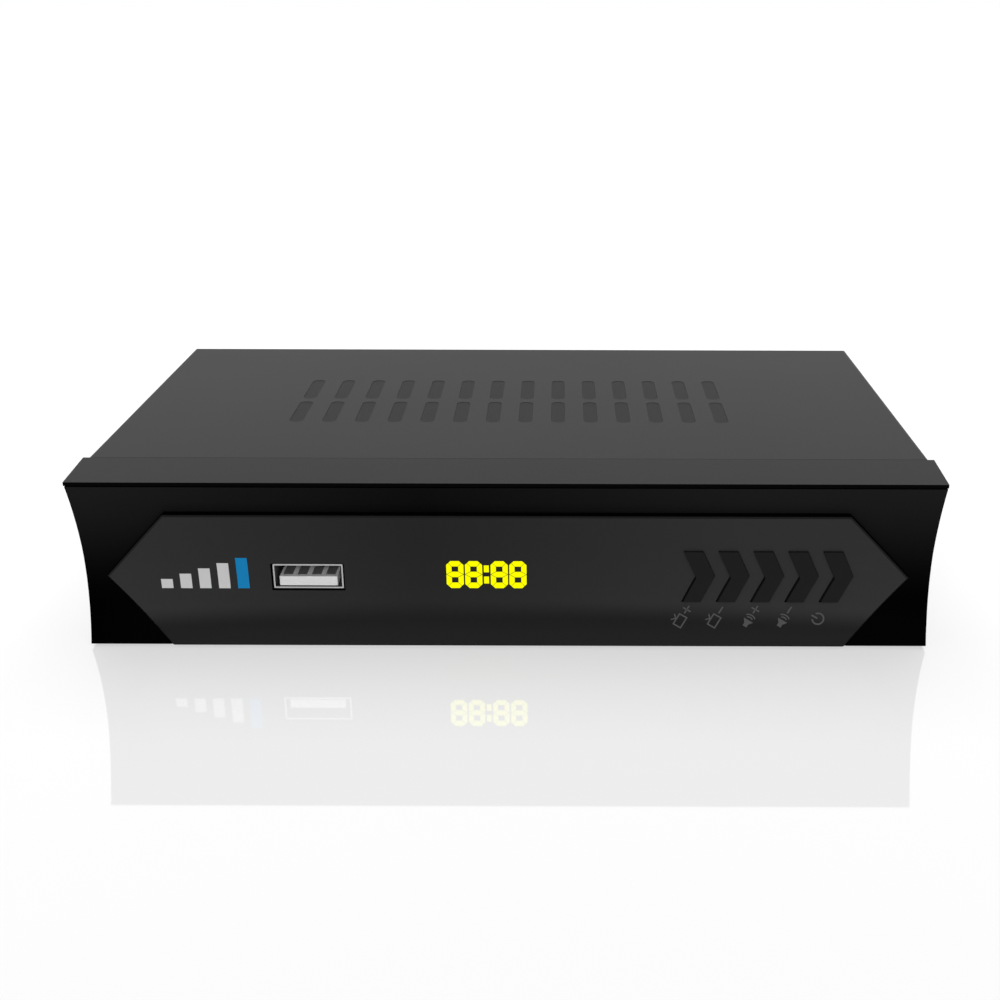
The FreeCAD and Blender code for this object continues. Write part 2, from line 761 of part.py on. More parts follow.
def cut_rear_panel(body):
    """Openings in the rear panel, each a little larger than the socket that comes through it."""
    before, behind = "panel_inner - cut_margin / 2", "panel_outer + cut_margin"
    aerial = pocket(body, "aerial_hole", "front", before, behind,
                    discs=[("aerial_x", "aerial_z", "aerial_radius + panel_gap")])
    repeat(body, aerial, "x", str(len(AERIALS)), "aerial_pitch")
    phono = pocket(body, "phono_hole", "front", before, behind,
                   discs=[("phono_x", "phono_z", "phono_collar + panel_gap")])
    repeat(body, phono, "x", str(len(PHONOS)), "phono_pitch")
    pocket(body, "square_holes", "front", before, behind, [
        box("digital_x - digital_width / 2 - panel_gap", "board_top - panel_gap",
            "digital_x + digital_width / 2 + panel_gap", "board_top + digital_height + panel_gap"),
        box("jack_x - jack_width / 2 - panel_gap", "board_top - panel_gap",
            "jack_x + jack_width / 2 + panel_gap", "board_top + jack_height + panel_gap")])
    pocket(body, "panel_screw_holes", "front", before, behind,
           discs=[(across, up, "screw_radius + screw_fit") for across, up in REAR_SCREWS])


def make_rubber_feet():
    body = new_piece("rubber_feet")
    foot = revolve(body, "foot", [
        ("0", "0"), ("foot_radius - foot_taper", "0"), ("foot_radius", "foot_height"), ("0", "foot_height"),
    ], "(-foot_x)", "foot_front")
    repeat(body, foot, "x", "2", "2 * foot_x", ("y", "2", "foot_pitch"))


# ---- the front ----

def make_front_moulding():
    body = new_piece("front_moulding")
    band = "case_top - lip_band"
    profile = [
        ("0", "case_top"), ("0", band), ("groove_depth", band),
        ("groove_depth", f"{band} - lip_groove"),
        ("cove_start", f"{band} - lip_groove", "cove_radius", -1),
        ("cove_foot", "moulding_clear"), ("moulding_depth", "moulding_clear"),
        ("moulding_depth", "case_top"),
    ]
    pad(body, "cove", "side", "-moulding_half", "moulding_half", [profile])
    pocket(body, "flanks", "flat", "-cut_past", "case_top + cut_past", [
        [("-moulding_half - cut_margin", "-cut_margin"), ("-moulding_front_half", "-cut_margin"),
         ("-moulding_front_half", "0"), ("-moulding_half", "moulding_depth"),
         ("-moulding_half - cut_margin", "moulding_depth")],
        [("moulding_half + cut_margin", "-cut_margin"), ("moulding_half + cut_margin", "moulding_depth"),
         ("moulding_half", "moulding_depth"), ("moulding_front_half", "0"),
         ("moulding_front_half", "-cut_margin")]])
    pocket(body, "hollow", "front", "skin_back", "moulding_depth + cut_margin", [box(
        "-moulding_front_half + moulding_wall", "moulding_clear + moulding_wall",
        "moulding_front_half - moulding_wall", "case_top - moulding_wall")])
    bed = facia_outline("facia_fit", "cut_margin")
    pocket(body, "facia_bed", "front", "-cut_past", "facia_seat", [bed])
    cut_front_windows(body)
    add_ledge(body)
    add_bosses(body)
    hook = pad(body, "hook", "side", "-hook_pitch * (hook_count - 1) / 2 - hook_width / 2",
               "-hook_pitch * (hook_count - 1) / 2 + hook_width / 2", [[
                   ("hook_front", "moulding_clear + moulding_wall / 2"),
                   ("hook_front + hook_gauge", "moulding_clear + moulding_wall / 2"),
                   ("hook_front + hook_gauge", "tray_floor + sheet_fit"),
                   ("hook_front + hook_gauge + hook_barb", "tray_floor + sheet_fit"),
                   ("hook_front + hook_gauge", "tray_floor + sheet_fit + hook_rise"),
                   ("hook_front", "tray_floor + sheet_fit + hook_rise")]])
    repeat(body, hook, "x", "hook_count", "hook_pitch")


def facia_outline(grow="0", drop="0"):
    """The facia's long hexagon, grown all round and drawn on past its foot by drop."""
    foot = f"(facia_foot_half + {grow} * facia_lean - {drop} * facia_slope)"
    tip = f"(facia_tip_half + {grow} * facia_lean)"
    top = f"(facia_top_half + {grow} * (facia_lean - facia_slope))"
    return [
        (f"-{foot}", f"moulding_clear - {drop}"), (foot, f"moulding_clear - {drop}"),
        (tip, "facia_tip_rise"), (top, f"facia_top + {grow}"),
        (f"-{top}", f"facia_top + {grow}"), (f"-{tip}", "facia_tip_rise"),
    ]


def cut_front_windows(body):
    """Openings through the moulding's front wall, behind those of the facia."""
    front, back = "facia_seat - cut_margin", "skin_back + cut_margin / 2"
    key = pocket(body, "button_well", "front", front, back, [chevron("button_gap")])
    repeat(body, key, "x", str(len(BUTTONS)), "button_pitch")
    rim = "(module_margin + module_gap)"
    pocket(body, "front_windows", "front", front, back, [
        box("usb_x - usb_width / 2 - usb_gap", "usb_low - usb_gap",
            "usb_x + usb_width / 2 + usb_gap", "usb_low + usb_height + usb_gap"),
        box(f"digit_left - {rim}", f"digit_low - {rim}",
            f"digits_right + {rim}", f"digit_top + {rim}"),
        square("sensor_x", "sensor_rise", "(sensor_dome + sensor_gap)")])


def add_ledge(body):
    """A rim behind the moulding that the cover's front edge slips over."""
    rim, inside = "tray_outer", "tray_outer - ledge_wall"
    top = "cover_under - sheet_fit"
    pad(body, "ledge", "front", "moulding_depth - ledge_root", "moulding_depth + ledge_reach", [[
        (f"-{rim}", "ledge_low"), (f"-({inside})", "ledge_low"), (f"-({inside})", f"{top} - ledge_wall"),
        (inside, f"{top} - ledge_wall"), (inside, "ledge_low"), (rim, "ledge_low"),
        (rim, f"{top} - bend_inside"), (f"{rim} - bend_inside", top),
        (f"-{rim} + bend_inside", top), (f"-{rim}", f"{top} - bend_inside")]])


def add_bosses(body):
    """Screw posts that carry the front board."""
    pad(body, "bosses", "front", "skin_back - boss_root", "front_board_face",
        discs=[(across, up, "boss_radius") for across, up in FRONT_SCREWS])
    pocket(body, "boss_holes", "front", "skin_back + boss_skin", "front_board_face + cut_margin",
           discs=[(across, up, "screw_radius + screw_fit") for across, up in FRONT_SCREWS])


def make_facia_plate():
    body = new_piece("facia_plate")
    foot, top = "moulding_clear", "facia_top"
    pad(body, "plate", "side", "-facia_tip_half", "facia_tip_half", [[
        ("facia_seat", foot), ("facia_seat", top), (face_y(top), top, "facia_radius", -1),
        (face_y(foot), foot)]])
    pocket(body, "hexagon", "front", "-cut_past", "facia_seat + cut_margin", [
        box("-facia_tip_half - cut_margin", f"{foot} - cut_margin",
            "facia_tip_half + cut_margin", f"{top} + cut_margin"),
        facia_outline()])
    soften_face(body)
    key = pocket(body, "button_hole", "front", "0", "facia_seat + cut_margin", [chevron("button_gap")])
    repeat(body, key, "x", str(len(BUTTONS)), "button_pitch")
    pocket(body, "facia_windows", "front", "0", "facia_seat + cut_margin", [
        box("usb_x - usb_width / 2 - usb_gap", "usb_low - usb_gap",
            "usb_x + usb_width / 2 + usb_gap", "usb_low + usb_height + usb_gap")] + colon_dots())
    figure = pocket(body, "figure_windows", "front", "0", "facia_seat + cut_margin",
                    digit_segments("digit_left"))
    repeat(body, figure, "x", "2", "digit_pitch", ("x", "2", "digit_pair_pitch"))


def soften_face(body):
    """Chamfers the rim of the facia's hollow face."""
    solid = body.Shape
    hollow = [face for face in solid.Faces if isinstance(face.Surface, Part.Cylinder)]
    rim = [f"Edge{number}" for number, edge in enumerate(solid.Edges, 1)
           if any(edge.isSame(side) for face in hollow for side in face.OuterWire.Edges)
           and edge.CenterOfMass.z > value("moulding_clear + facia_edge")]
    cut = body.Tip
    edge = body.newObject("PartDesign::Chamfer", "facia_rim")
    edge.Base = (cut, rim)
    edge.setExpression("Size", tied("facia_edge"))
    doc.recompute()


def digit_lefts():
    return [f"digit_left + {pair} * digit_pair_pitch + {one} * digit_pitch"
            for pair in (0, 1) for one in (0, 1)]


def colon_dots():
    return [box("colon_left", f"colon_low + {step} * colon_pitch", "colon_left + colon_width",
                f"colon_low + {step} * colon_pitch + colon_height") for step in (0, 1)]


def make_display():
    for number, left in enumerate(digit_lefts(), 1):
        body = new_piece(f"digit_guide_{number}")
        pad(body, f"web_{number}", "front", "facia_seat", "web_back",
            [box(left, "digit_low", f"{left} + digit_width", "digit_top")])
        pad(body, f"bars_{number}", "front", "0", "facia_seat", digit_segments(left))
        trim_to_face(body, f"{left} - cut_margin", f"{left} + digit_width + cut_margin")
    body = new_piece("colon_guide")
    pad(body, "colon_web", "front", "facia_seat", "web_back", [box(
        "colon_left", "colon_low", "colon_left + colon_width", "colon_low + colon_pitch + colon_height")])
    pad(body, "colon_bars", "front", "0", "facia_seat", colon_dots())
    trim_to_face(body, "colon_left - cut_margin", "colon_left + colon_width + cut_margin")
    body = new_piece("display_module")
    pad(body, "module", "front", "web_back", "front_board_face", [box(
        "digit_left - module_margin", "digit_low - module_margin",
        "digits_right + module_margin", "digit_top + module_margin")])


def make_buttons():
    for number, name in enumerate(BUTTONS):
        across = f"button_left + {number} * button_pitch"
        middle = f"stem_x + {number} * button_pitch"
        cap = new_piece(f"{name}_button")
        pad(cap, f"{name}_cap", "front", "0", "collar_front", [chevron("0", across)])
        trim_to_face(cap, across, f"{across} + button_arm + button_reach + cut_margin", "(-button_proud)")
        pad(cap, f"{name}_collar", "front", "collar_front", "collar_back",
            [chevron("button_collar", across)])
        pad(cap, f"{name}_stem", "front", "collar_back", "plunger_front",
            [square(middle, "button_rise", "stem_half")])
        plunger = new_piece(f"{name}_plunger")
        pad(plunger, f"{name}_rod", "front", "plunger_front", "switch_front + plunger_sunk",
            [square(middle, "button_rise", "plunger_half")])
        switch = new_piece(f"{name}_switch")
        pad(switch, f"{name}_case", "front", "switch_front", "front_board_face",
            [square(middle, "button_rise", "switch_side / 2")])
        pocket(switch, f"{name}_well", "front", "switch_front - cut_margin", "switch_front + switch_well",
               [square(middle, "button_rise", "(plunger_half + plunger_gap)")])


def make_front_board():
    body = new_piece("front_board")
    pad(body, "front_sheet", "front", "front_board_face", "front_board_back", [box(
        "front_board_left", "front_board_low", "front_board_right", "front_board_high")])
    pocket(body, "front_board_holes", "front",
           "front_board_face - cut_margin", "front_board_back + cut_margin",
           discs=[(across, up, "screw_radius + screw_clearance") for across, up in FRONT_SCREWS])


def make_remote_receiver():
    body = new_piece("remote_receiver")
    front = "front_board_face - sensor_depth"
    half_height = "sensor_height / 2"
    pad(body, "sensor_case", "front", front, "front_board_face", [box(
        "sensor_x - sensor_width / 2", f"sensor_rise - {half_height}",
        "sensor_x + sensor_width / 2", f"sensor_rise + {half_height}")])
    pad(body, "sensor_lens", "flat", "sensor_rise - sensor_dome", "sensor_rise + sensor_dome", [[
        ("sensor_x - sensor_dome", f"{front} + lens_root"),
        ("sensor_x - sensor_dome", front, "sensor_dome", 1),
        ("sensor_x", f"{front} - sensor_dome", "sensor_dome", 1), ("sensor_x + sensor_dome", front),
        ("sensor_x + sensor_dome", f"{front} + lens_root")]])


def make_usb_socket():
    half = "usb_width / 2"
    back = "usb_face + usb_length"
    shell = new_piece("usb_shell")
    pad(shell, "usb_sleeve", "front", "usb_face", back, [
        round_box(f"usb_x - {half}", "usb_low", f"usb_x + {half}", "usb_low + usb_height", "usb_corner"),
        box(f"usb_x - {half} + usb_wall", "usb_low + usb_wall",
            f"usb_x + {half} - usb_wall", "usb_low + usb_height - usb_wall")])
    tongue = new_piece("usb_tongue")
    pad(tongue, "usb_root", "front", f"{back} - tongue_root", back, [box(
        f"usb_x - {half} + usb_wall", "usb_low + usb_wall",
        f"usb_x + {half} - usb_wall", "usb_low + usb_height - usb_wall")])
    pad(tongue, "usb_blade", "front", "tongue_front", f"{back} - tongue_root", [box(
        "usb_x - tongue_width / 2", "tongue_low", "usb_x + tongue_width / 2", "tongue_top")])
    strip = box("contact_left - contact_width / 2", "tongue_front + contact_start",
                "contact_left + contact_width / 2", "tongue_front + contact_start + contact_length")
    bed = pocket(tongue, "contact_bed", "flat",
                 "tongue_top - contact_sunk", "tongue_top + cut_margin", [strip])
    repeat(tongue, bed, "x", "contact_count", "contact_pitch")
    contacts = new_piece("usb_contacts")
    contact = pad(contacts, "contact", "flat", "tongue_top - contact_sunk",
                  "tongue_top - contact_sunk + contact_gauge", [strip])
    repeat(contacts, contact, "x", "contact_count", "contact_pitch")


# ---- the main board and its parts ----

def make_main_board():
    body = new_piece("main_board")
    pad(body, "board_sheet", "flat", "board_low", "board_top", [[
        ("-board_half", "board_front"), ("usb_x - nose_half", "board_front"),
        ("usb_x - nose_half", "nose_front"), ("usb_x + nose_half", "nose_front"),
        ("usb_x + nose_half", "board_front"), ("board_half", "board_front"),
        ("board_half", "board_back"), ("-board_half", "board_back")]])
    pocket(body, "board_holes", "flat", "board_low - cut_margin", "board_top + cut_margin",
           discs=[(across, along, "screw_radius + screw_clearance") for across, along in BOARD_SCREWS])
    body = new_piece("board_standoffs")
    pad(body, "standoffs", "flat", "tray_floor", "board_low",
        [hexagon(across, along, "standoff_across") for across, along in BOARD_SCREWS],
        [(across, along, "screw_radius + screw_fit") for across, along in BOARD_SCREWS])


def make_board_link():
    right = "link_left + link_width"
    low = "board_top + link_lift"
    joint = "front_board_back + link_socket_depth"
    body = new_piece("link_socket")
    pad(body, "link_shell", "front", "front_board_back", joint,
        [box("link_left", low, right, f"{low} + link_height")])
    body = new_piece("link_header")
    pad(body, "link_block", "front", joint, f"{joint} + link_header_depth",
        [box("link_left", "board_top", right, f"{low} + link_height")])


def make_chips():
    body = new_piece("main_chip")
    half = "chip_side / 2"
    pad(body, "chip", "flat", "board_top", "chip_top",
        [box(f"chip_x - {half}", f"chip_y - {half}", f"chip_x + {half}", f"chip_y + {half}")])
    body = new_piece("heat_sink")
    half = "sink_side / 2"
    base = "chip_top + sink_base"
    pad(body, "sink_plate", "flat", "chip_top", base,
        [box(f"chip_x - {half}", f"chip_y - {half}", f"chip_x + {half}", f"chip_y + {half}")])
    fin = pad(body, "fin", "flat", base, "chip_top + sink_height", [box(
        f"chip_x - {half}", f"chip_y - {half}", f"chip_x - {half} + fin_gauge", f"chip_y + {half}")])
    repeat(body, fin, "x", "fin_count", "(sink_side - fin_gauge) / (fin_count - 1)")
    body = new_piece("memory_chips")
    half = "memory_width / 2"
    chip = pad(body, "memory", "flat", "board_top", "board_top + memory_gauge", [box(
        f"chip_x - {half}", "memory_y - memory_length / 2",
        f"chip_x + {half}", "memory_y + memory_length / 2")])
    repeat(body, chip, "x", "2", "memory_pitch")


def make_power_parts():
    body = new_piece("smoothing_capacitors")
    can = pad(body, "can", "flat", "board_top", "board_top + can_height",
              discs=[("can_x", "can_y", "can_radius")])
    repeat(body, can, "y", "can_count", "can_pitch")
    body = new_piece("power_coil")
    half = "coil_side / 2"
    pad(body, "coil", "flat", "board_top", "board_top + coil_height", [cut_box(
        f"coil_x - {half}", f"coil_y - {half}", f"coil_x + {half}", f"coil_y + {half}", "coil_corner")])


# ---- sockets on the rear panel ----

def make_aerial_sockets():
    body = new_piece("tuner_can")
    pad(body, "tuner", "flat", "board_top", "board_top + tuner_height",
        [box("tuner_left", "tuner_front", "tuner_right", "tuner_back")])
    pocket(body, "tuner_inside", "flat",
           "board_top - cut_margin", "board_top + tuner_height - can_gauge", [box(
               "tuner_left + can_gauge", "tuner_front + can_gauge",
               "tuner_right - can_gauge", "tuner_back - can_gauge")])
    for number, name in enumerate(AERIALS):
        across = f"aerial_x + {number} * aerial_pitch"
        body = new_piece(f"{name}_barrel")
        pad(body, f"{name}_root", "front", "tuner_back", "nut_back",
            discs=[(across, "aerial_z", "aerial_root")])
        pad(body, f"{name}_thread", "front", "nut_back", "aerial_tip",
            discs=[(across, "aerial_z", "aerial_radius")])
        pocket(body, f"{name}_mouth", "front", "aerial_tip - aerial_bore_depth", "aerial_tip + cut_margin",
               discs=[(across, "aerial_z", "aerial_bore")])
    body = new_piece("aerial_insulators")
    core = pad(body, "insulator", "front",
               "aerial_tip - aerial_bore_depth", "aerial_tip - insulator_setback",
               discs=[("aerial_x", "aerial_z", "aerial_bore"), ("aerial_x", "aerial_z", "aerial_pin_hole")])
    repeat(body, core, "x", str(len(AERIALS)), "aerial_pitch")
    body = new_piece("aerial_nuts")
    nut = pad(body, "nut", "front", "panel_outer", "nut_back",
              [hexagon("aerial_x", "aerial_z", "nut_across")],
              [("aerial_x", "aerial_z", "aerial_root + nut_fit")])
    repeat(body, nut, "x", str(len(AERIALS)), "aerial_pitch")


def digital_outline(grow):
    """The socket's shell: square above, drawn in below."""
    half = f"(digital_width / 2 + {grow})"
    return [
        (f"digital_x - {half} + digital_chamfer", f"board_top - {grow}"),
        (f"digital_x + {half} - digital_chamfer", f"board_top - {grow}"),
        (f"digital_x + {half}", f"board_top + digital_shoulder"),
        (f"digital_x + {half}", f"board_top + digital_height + {grow}"),
        (f"digital_x - {half}", f"board_top + digital_height + {grow}"),
        (f"digital_x - {half}", f"board_top + digital_shoulder"),
    ]


def make_digital_socket():
    front = "digital_face - digital_length"
    body = new_piece("digital_av_shell")
    pad(body, "digital_sleeve", "front", front, "digital_face",
        [digital_outline("0"), digital_outline("(-digital_wall)")])
    body = new_piece("digital_av_tongue")
    pad(body, "digital_root", "front", front, f"{front} + blade_root", [digital_outline("(-digital_wall)")])
    pad(body, "digital_blade", "front", f"{front} + blade_root", "digital_face - blade_setback", [box(
        "digital_x - blade_width / 2", "board_top + blade_rise",
        "digital_x + blade_width / 2", "board_top + blade_rise + blade_gauge")])


def make_phono_sockets():
    body = new_piece("phono_block")
    last = f"phono_x + {len(PHONOS) - 1} * phono_pitch"
    pad(body, "phono_housing", "front", "phono_block_back - phono_block_depth", "phono_block_back", [box(
        "phono_x - phono_block_margin", "board_top",
        f"{last} + phono_block_margin", "board_top + phono_block_height")])
    collar = pad(body, "phono_ring", "front", "phono_block_back", "collar_face",
                 discs=[("phono_x", "phono_z", "phono_collar")])
    repeat(body, collar, "x", str(len(PHONOS)), "phono_pitch")
    bore = pocket(body, "phono_bed", "front", "phono_root", "collar_face + cut_margin",
                  discs=[("phono_x", "phono_z", "phono_inside")])
    repeat(body, bore, "x", str(len(PHONOS)), "phono_pitch")
    body = new_piece("phono_sleeves")
    sleeve = pad(body, "phono_sleeve", "front", "collar_face", "phono_tip",
                 discs=[("phono_x", "phono_z", "phono_radius"), ("phono_x", "phono_z", "phono_inside")])
    repeat(body, sleeve, "x", str(len(PHONOS)), "phono_pitch")
    for number, name in enumerate(PHONOS):
        across = f"phono_x + {number} * phono_pitch"
        body = new_piece(name)
        pad(body, f"{name}_core", "front", "phono_root", "phono_tip - phono_setback",
            discs=[(across, "phono_z", "phono_inside")])
        pocket(body, f"{name}_hole", "front", "phono_tip - phono_setback - phono_hole_depth", "phono_tip",
               discs=[(across, "phono_z", "phono_hole")])


def make_power_inlet():
    body = new_piece("power_jack")
    half = "jack_width / 2"
    pad(body, "jack_case", "front", "jack_face - jack_length", "jack_face",
        [box(f"jack_x - {half}", "board_top", f"jack_x + {half}", "board_top + jack_height")])
    pocket(body, "jack_mouth", "front", "jack_face - jack_bore_depth", "jack_face + cut_margin",
           discs=[("jack_x", "jack_z", "jack_bore")])
    body = new_piece("power_jack_pin")
    pad(body, "jack_rod", "front", "jack_face - jack_bore_depth", "jack_face - jack_pin_setback",
        discs=[("jack_x", "jack_z", "jack_pin")])


# ---- screws ----

def add_screws(body, name, plane, seat, tip, spots):
    """Pan-headed screws: each has its shank from seat to tip and its head on the far side of the seat."""
    inward = value(tip) > value(seat)
    low, high = (seat, tip) if inward else (tip, seat)
    pad(body, name + "_shanks", plane, low, high,
        discs=[(across, up, "screw_radius") for across, up in spots])
    low, high = (f"{seat} - screw_head_height", seat) if inward else (seat, f"{seat} + screw_head_height")
    pad(body, name + "_heads", plane, low, high,
        discs=[(across, up, "screw_head") for across, up in spots])


def make_screws():
    add_screws(new_piece("board_screws"), "board_screw", "flat",
               "board_top", "board_top - screw_length", BOARD_SCREWS)
    add_screws(new_piece("front_board_screws"), "front_screw", "front",
               "front_board_back", "front_board_back - screw_length", FRONT_SCREWS)
    add_screws(new_piece("rear_cover_screws"), "rear_screw", "front",
               "case_length", "case_length - screw_length", REAR_SCREWS)
    body = new_piece("side_cover_screws")
    add_screws(body, "left_screw", "side", "-half_cover", "screw_length - half_cover", [SIDE_SCREW])
    add_screws(body, "right_screw", "side", "half_cover", "half_cover - screw_length", [SIDE_SCREW])


def check_and_write():
    doc.recompute()
    for item in doc.Objects:
        if "Invalid" in item.State or "Error" in item.State:
            raise ValueError(f"{item.Label} failed: {item.State}")
    for body in pieces:
        if body.Shape.isNull() or not body.Shape.isValid():
            raise ValueError(f"{body.Label} has no valid shape")
    os.makedirs("parts", exist_ok=True)
    for body in pieces:
        body.Shape.exportStep(os.path.join("parts", body.Label + ".step"))


fill_sheets()
make_top_cover()
make_dust_screen()
make_chassis_tray()
make_rubber_feet()
make_front_moulding()
make_facia_plate()
make_display()
make_buttons()
make_front_board()
make_remote_receiver()
make_usb_socket()
make_main_board()
make_board_link()
make_chips()
make_power_parts()
make_aerial_sockets()
make_digital_socket()
make_phono_sockets()
make_power_inlet()
make_screws()
check_and_write()
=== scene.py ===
import json
import math

import bmesh
import bpy
from mathutils import Matrix, Vector

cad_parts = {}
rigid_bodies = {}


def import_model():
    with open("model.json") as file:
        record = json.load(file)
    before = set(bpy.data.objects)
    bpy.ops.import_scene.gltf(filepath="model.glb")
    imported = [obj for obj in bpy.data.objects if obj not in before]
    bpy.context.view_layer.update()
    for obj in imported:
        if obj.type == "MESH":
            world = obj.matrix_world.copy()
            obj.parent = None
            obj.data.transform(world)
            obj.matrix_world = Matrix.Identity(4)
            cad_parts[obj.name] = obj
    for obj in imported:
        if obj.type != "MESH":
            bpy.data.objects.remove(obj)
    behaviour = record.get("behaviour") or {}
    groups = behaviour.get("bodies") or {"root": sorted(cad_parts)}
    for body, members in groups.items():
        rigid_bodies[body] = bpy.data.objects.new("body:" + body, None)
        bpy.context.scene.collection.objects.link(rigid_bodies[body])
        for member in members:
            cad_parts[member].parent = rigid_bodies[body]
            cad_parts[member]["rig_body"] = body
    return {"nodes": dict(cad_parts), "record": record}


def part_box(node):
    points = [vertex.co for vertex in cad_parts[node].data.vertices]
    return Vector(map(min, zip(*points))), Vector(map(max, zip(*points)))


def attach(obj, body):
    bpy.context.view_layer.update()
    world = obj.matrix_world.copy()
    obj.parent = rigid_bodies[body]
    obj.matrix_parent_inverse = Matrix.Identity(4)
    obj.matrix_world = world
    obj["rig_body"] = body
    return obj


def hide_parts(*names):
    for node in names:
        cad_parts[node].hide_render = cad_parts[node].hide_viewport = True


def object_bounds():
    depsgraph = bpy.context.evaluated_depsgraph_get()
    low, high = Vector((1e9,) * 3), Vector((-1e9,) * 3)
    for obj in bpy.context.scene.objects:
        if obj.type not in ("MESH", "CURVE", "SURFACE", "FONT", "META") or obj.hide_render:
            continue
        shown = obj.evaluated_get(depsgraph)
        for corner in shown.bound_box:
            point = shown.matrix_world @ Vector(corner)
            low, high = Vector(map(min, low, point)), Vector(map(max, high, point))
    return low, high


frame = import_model()
cad_box = [list(corner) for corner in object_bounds()]

# Pieces are drawn in millimetres, with Y from the very front and Z from the floor, and then put in the shared frame.
MM = 0.001
FRONT = cad_box[0][1]
KEYS = ("channel_up", "channel_down", "volume_up", "volume_down", "power")
SLOT_OF = {part["node"]: part["material_slot"] for part in frame["record"]["subparts"]}

MERGE_REACH = 1e-4
FLAT_TURN, CRISP_TURN, SMOOTH_TURN = math.radians(0.5), math.radians(30.0), math.radians(40.0)
FINE_EDGE = 0.04
ROUND_STEPS = 56
ALIKE = 0.99

CASE_TOP = 36.5
COVER_FRONT, COVER_BACK, COVER_SIDE, COVER_UPRIGHT = 14.5, 95.0, 80.0, 0.5
VENT_LEFT, VENT_PITCH, VENT_COLUMNS = -46.95, 7.1, 14
VENT_FRONT, VENT_ROW_PITCH, VENT_ROWS = 43.8, 16.7, 2
VENTS = [(VENT_LEFT + VENT_PITCH * column, VENT_FRONT + VENT_ROW_PITCH * row)
         for row in range(VENT_ROWS) for column in range(VENT_COLUMNS)]
VENT_WIDTH, VENT_LENGTH, VENT_CORNER = 3.0, 14.4, 0.42
VENT_FIELD_SIDE, VENT_FIELD_FRONT, VENT_FIELD_BACK = 60.0, 30.0, 75.0
MESH_PLAY, MESH_ROOT, MESH_DROP, MESH_CORNER, MESH_UPRIGHT = 0.02, 0.05, 0.06, 0.8, 0.4

FLANK, FLANK_DRAFT = 84.3, 15.0
LIP_FOOT, LIP_FOOT_PLAY, LIP_FACE, LIP_BAND_TOP = 35.35, 0.05, 1.2, 35.8
LIP_TOP_DEPTH, LIP_CRISP = 0.2, (35.2, 35.9)
MOULDING_SOFT_BACK, MOULDING_SOFT_FOOT = 8.0, 1.0

FACE_AXIS, FACE_RADIUS = (-49.50, 13.16), 53.0
FACIA_EDGE, FACIA_SIDE_TURN, FACIA_SLOPE_TURN = 0.08, 0.3, (-0.85, -0.6)
WINDOWS_ACROSS, WINDOWS_UP = (-12.6, 64.0), (9.0, 22.0)

BUTTON_PITCH, BUTTON_EDGE = 6.87, 0.05
COLLAR_FRONT, COLLAR_PLAY = 7.3, 0.1
CAP_REST_FIT, CAP_LOOSE_FIT, CAP_FAR_FIT = 0.16, -0.06, 0.13

BLADE_BACK, TONGUE_LIP, TONGUE_PROUD = 10.0, 0.7, 0.01
CONTACT_FRONT = 0.1
SHELL_WALL, SHELL_TRIM = 0.21, 0.08

SIGN_PROUD, SIGN_STRIP, TAIL_WIDTH = 0.02, 0.4, 0.3
SIGN_LEFT, SIGN_UP, SIGN_TILT = 33.75, 4.75, math.radians(-60)
BAR_LEFT, BAR_PITCH, BAR_WIDTH = -69.0, 3.8, 2.3
BAR_FOOT, BAR_FIRST_TOP, BAR_STEP = 12.6, 14.6, 1.2

# The barrels stand 0.25 mm left of the solids', which are at 41.25 and 60.25.
AERIAL_IN, AERIAL_OUT = 41.0, 60.0
BARREL_BACK, BARREL_NECK, BARREL_TIP, BARREL_TAPER = 94.2, 4.45, 105.5, 4.2
BARREL_BORE, BARREL_FLOOR, BARREL_CHAMFER, BARREL_SMOOTH_TURN = 3.3, 96.5, 0.2, math.radians(25.0)
THREAD_ROOT, THREAD_CREST, THREAD_PITCH = 4.38, 4.74, 0.79
THREAD_START, THREAD_END, THREAD_GAP = 97.9, 104.6, 0.2
THREAD_RISE, THREAD_TURN, THREAD_FALL = 0.26, 0.4, 0.66

HEAD_AREA, HEAD_DOME, HEAD_SIDES, SCREW_HEAD = 17.0, 0.8, 20, 5.0
CROSS_ARM, CROSS_HALF, CROSS_DEPTH, CROSS_FOOT = 1.3, 0.38, 0.7, 0.75

# Painted shade, floor and camera, with their places in metres.
PAINTED_SHADE_ASIDE, PAINTED_SHADE_REACH = 0.0165, 0.065
FLOOR_SIZE, FLOOR_DROP = 6.0, 0.00005
FLOOR_SEEN, ROOM_LIGHT, ROOM_SEEN = 0.58, 0.25, 1.0
CAMERA_LENS, CAMERA_SHIFT, CAMERA_START = 46.47, -0.0584, 0.01
CAMERA_SPOT = (0.009977, -0.281365, 0.125374)
CAMERA_TILT, CAMERA_ROLL = math.radians(68.037), math.radians(0.168)


# finishes, some with painted shade on the front

def new_group(name, inputs, outputs):
    """An empty shader group with number inputs (name, value) and number outputs."""
    group = bpy.data.node_groups.new(name, "ShaderNodeTree")
    for socket, value in inputs:
        made = group.interface.new_socket(name=socket, in_out="INPUT", socket_type="NodeSocketFloat")
        made.default_value = value
    for socket in outputs:
        group.interface.new_socket(name=socket, in_out="OUTPUT", socket_type="NodeSocketFloat")
    return group, group.nodes.new("NodeGroupInput"), group.nodes.new("NodeGroupOutput")


def new_math(tree, operation):
    node = tree.nodes.new("ShaderNodeMath")
    node.operation = operation
    return node


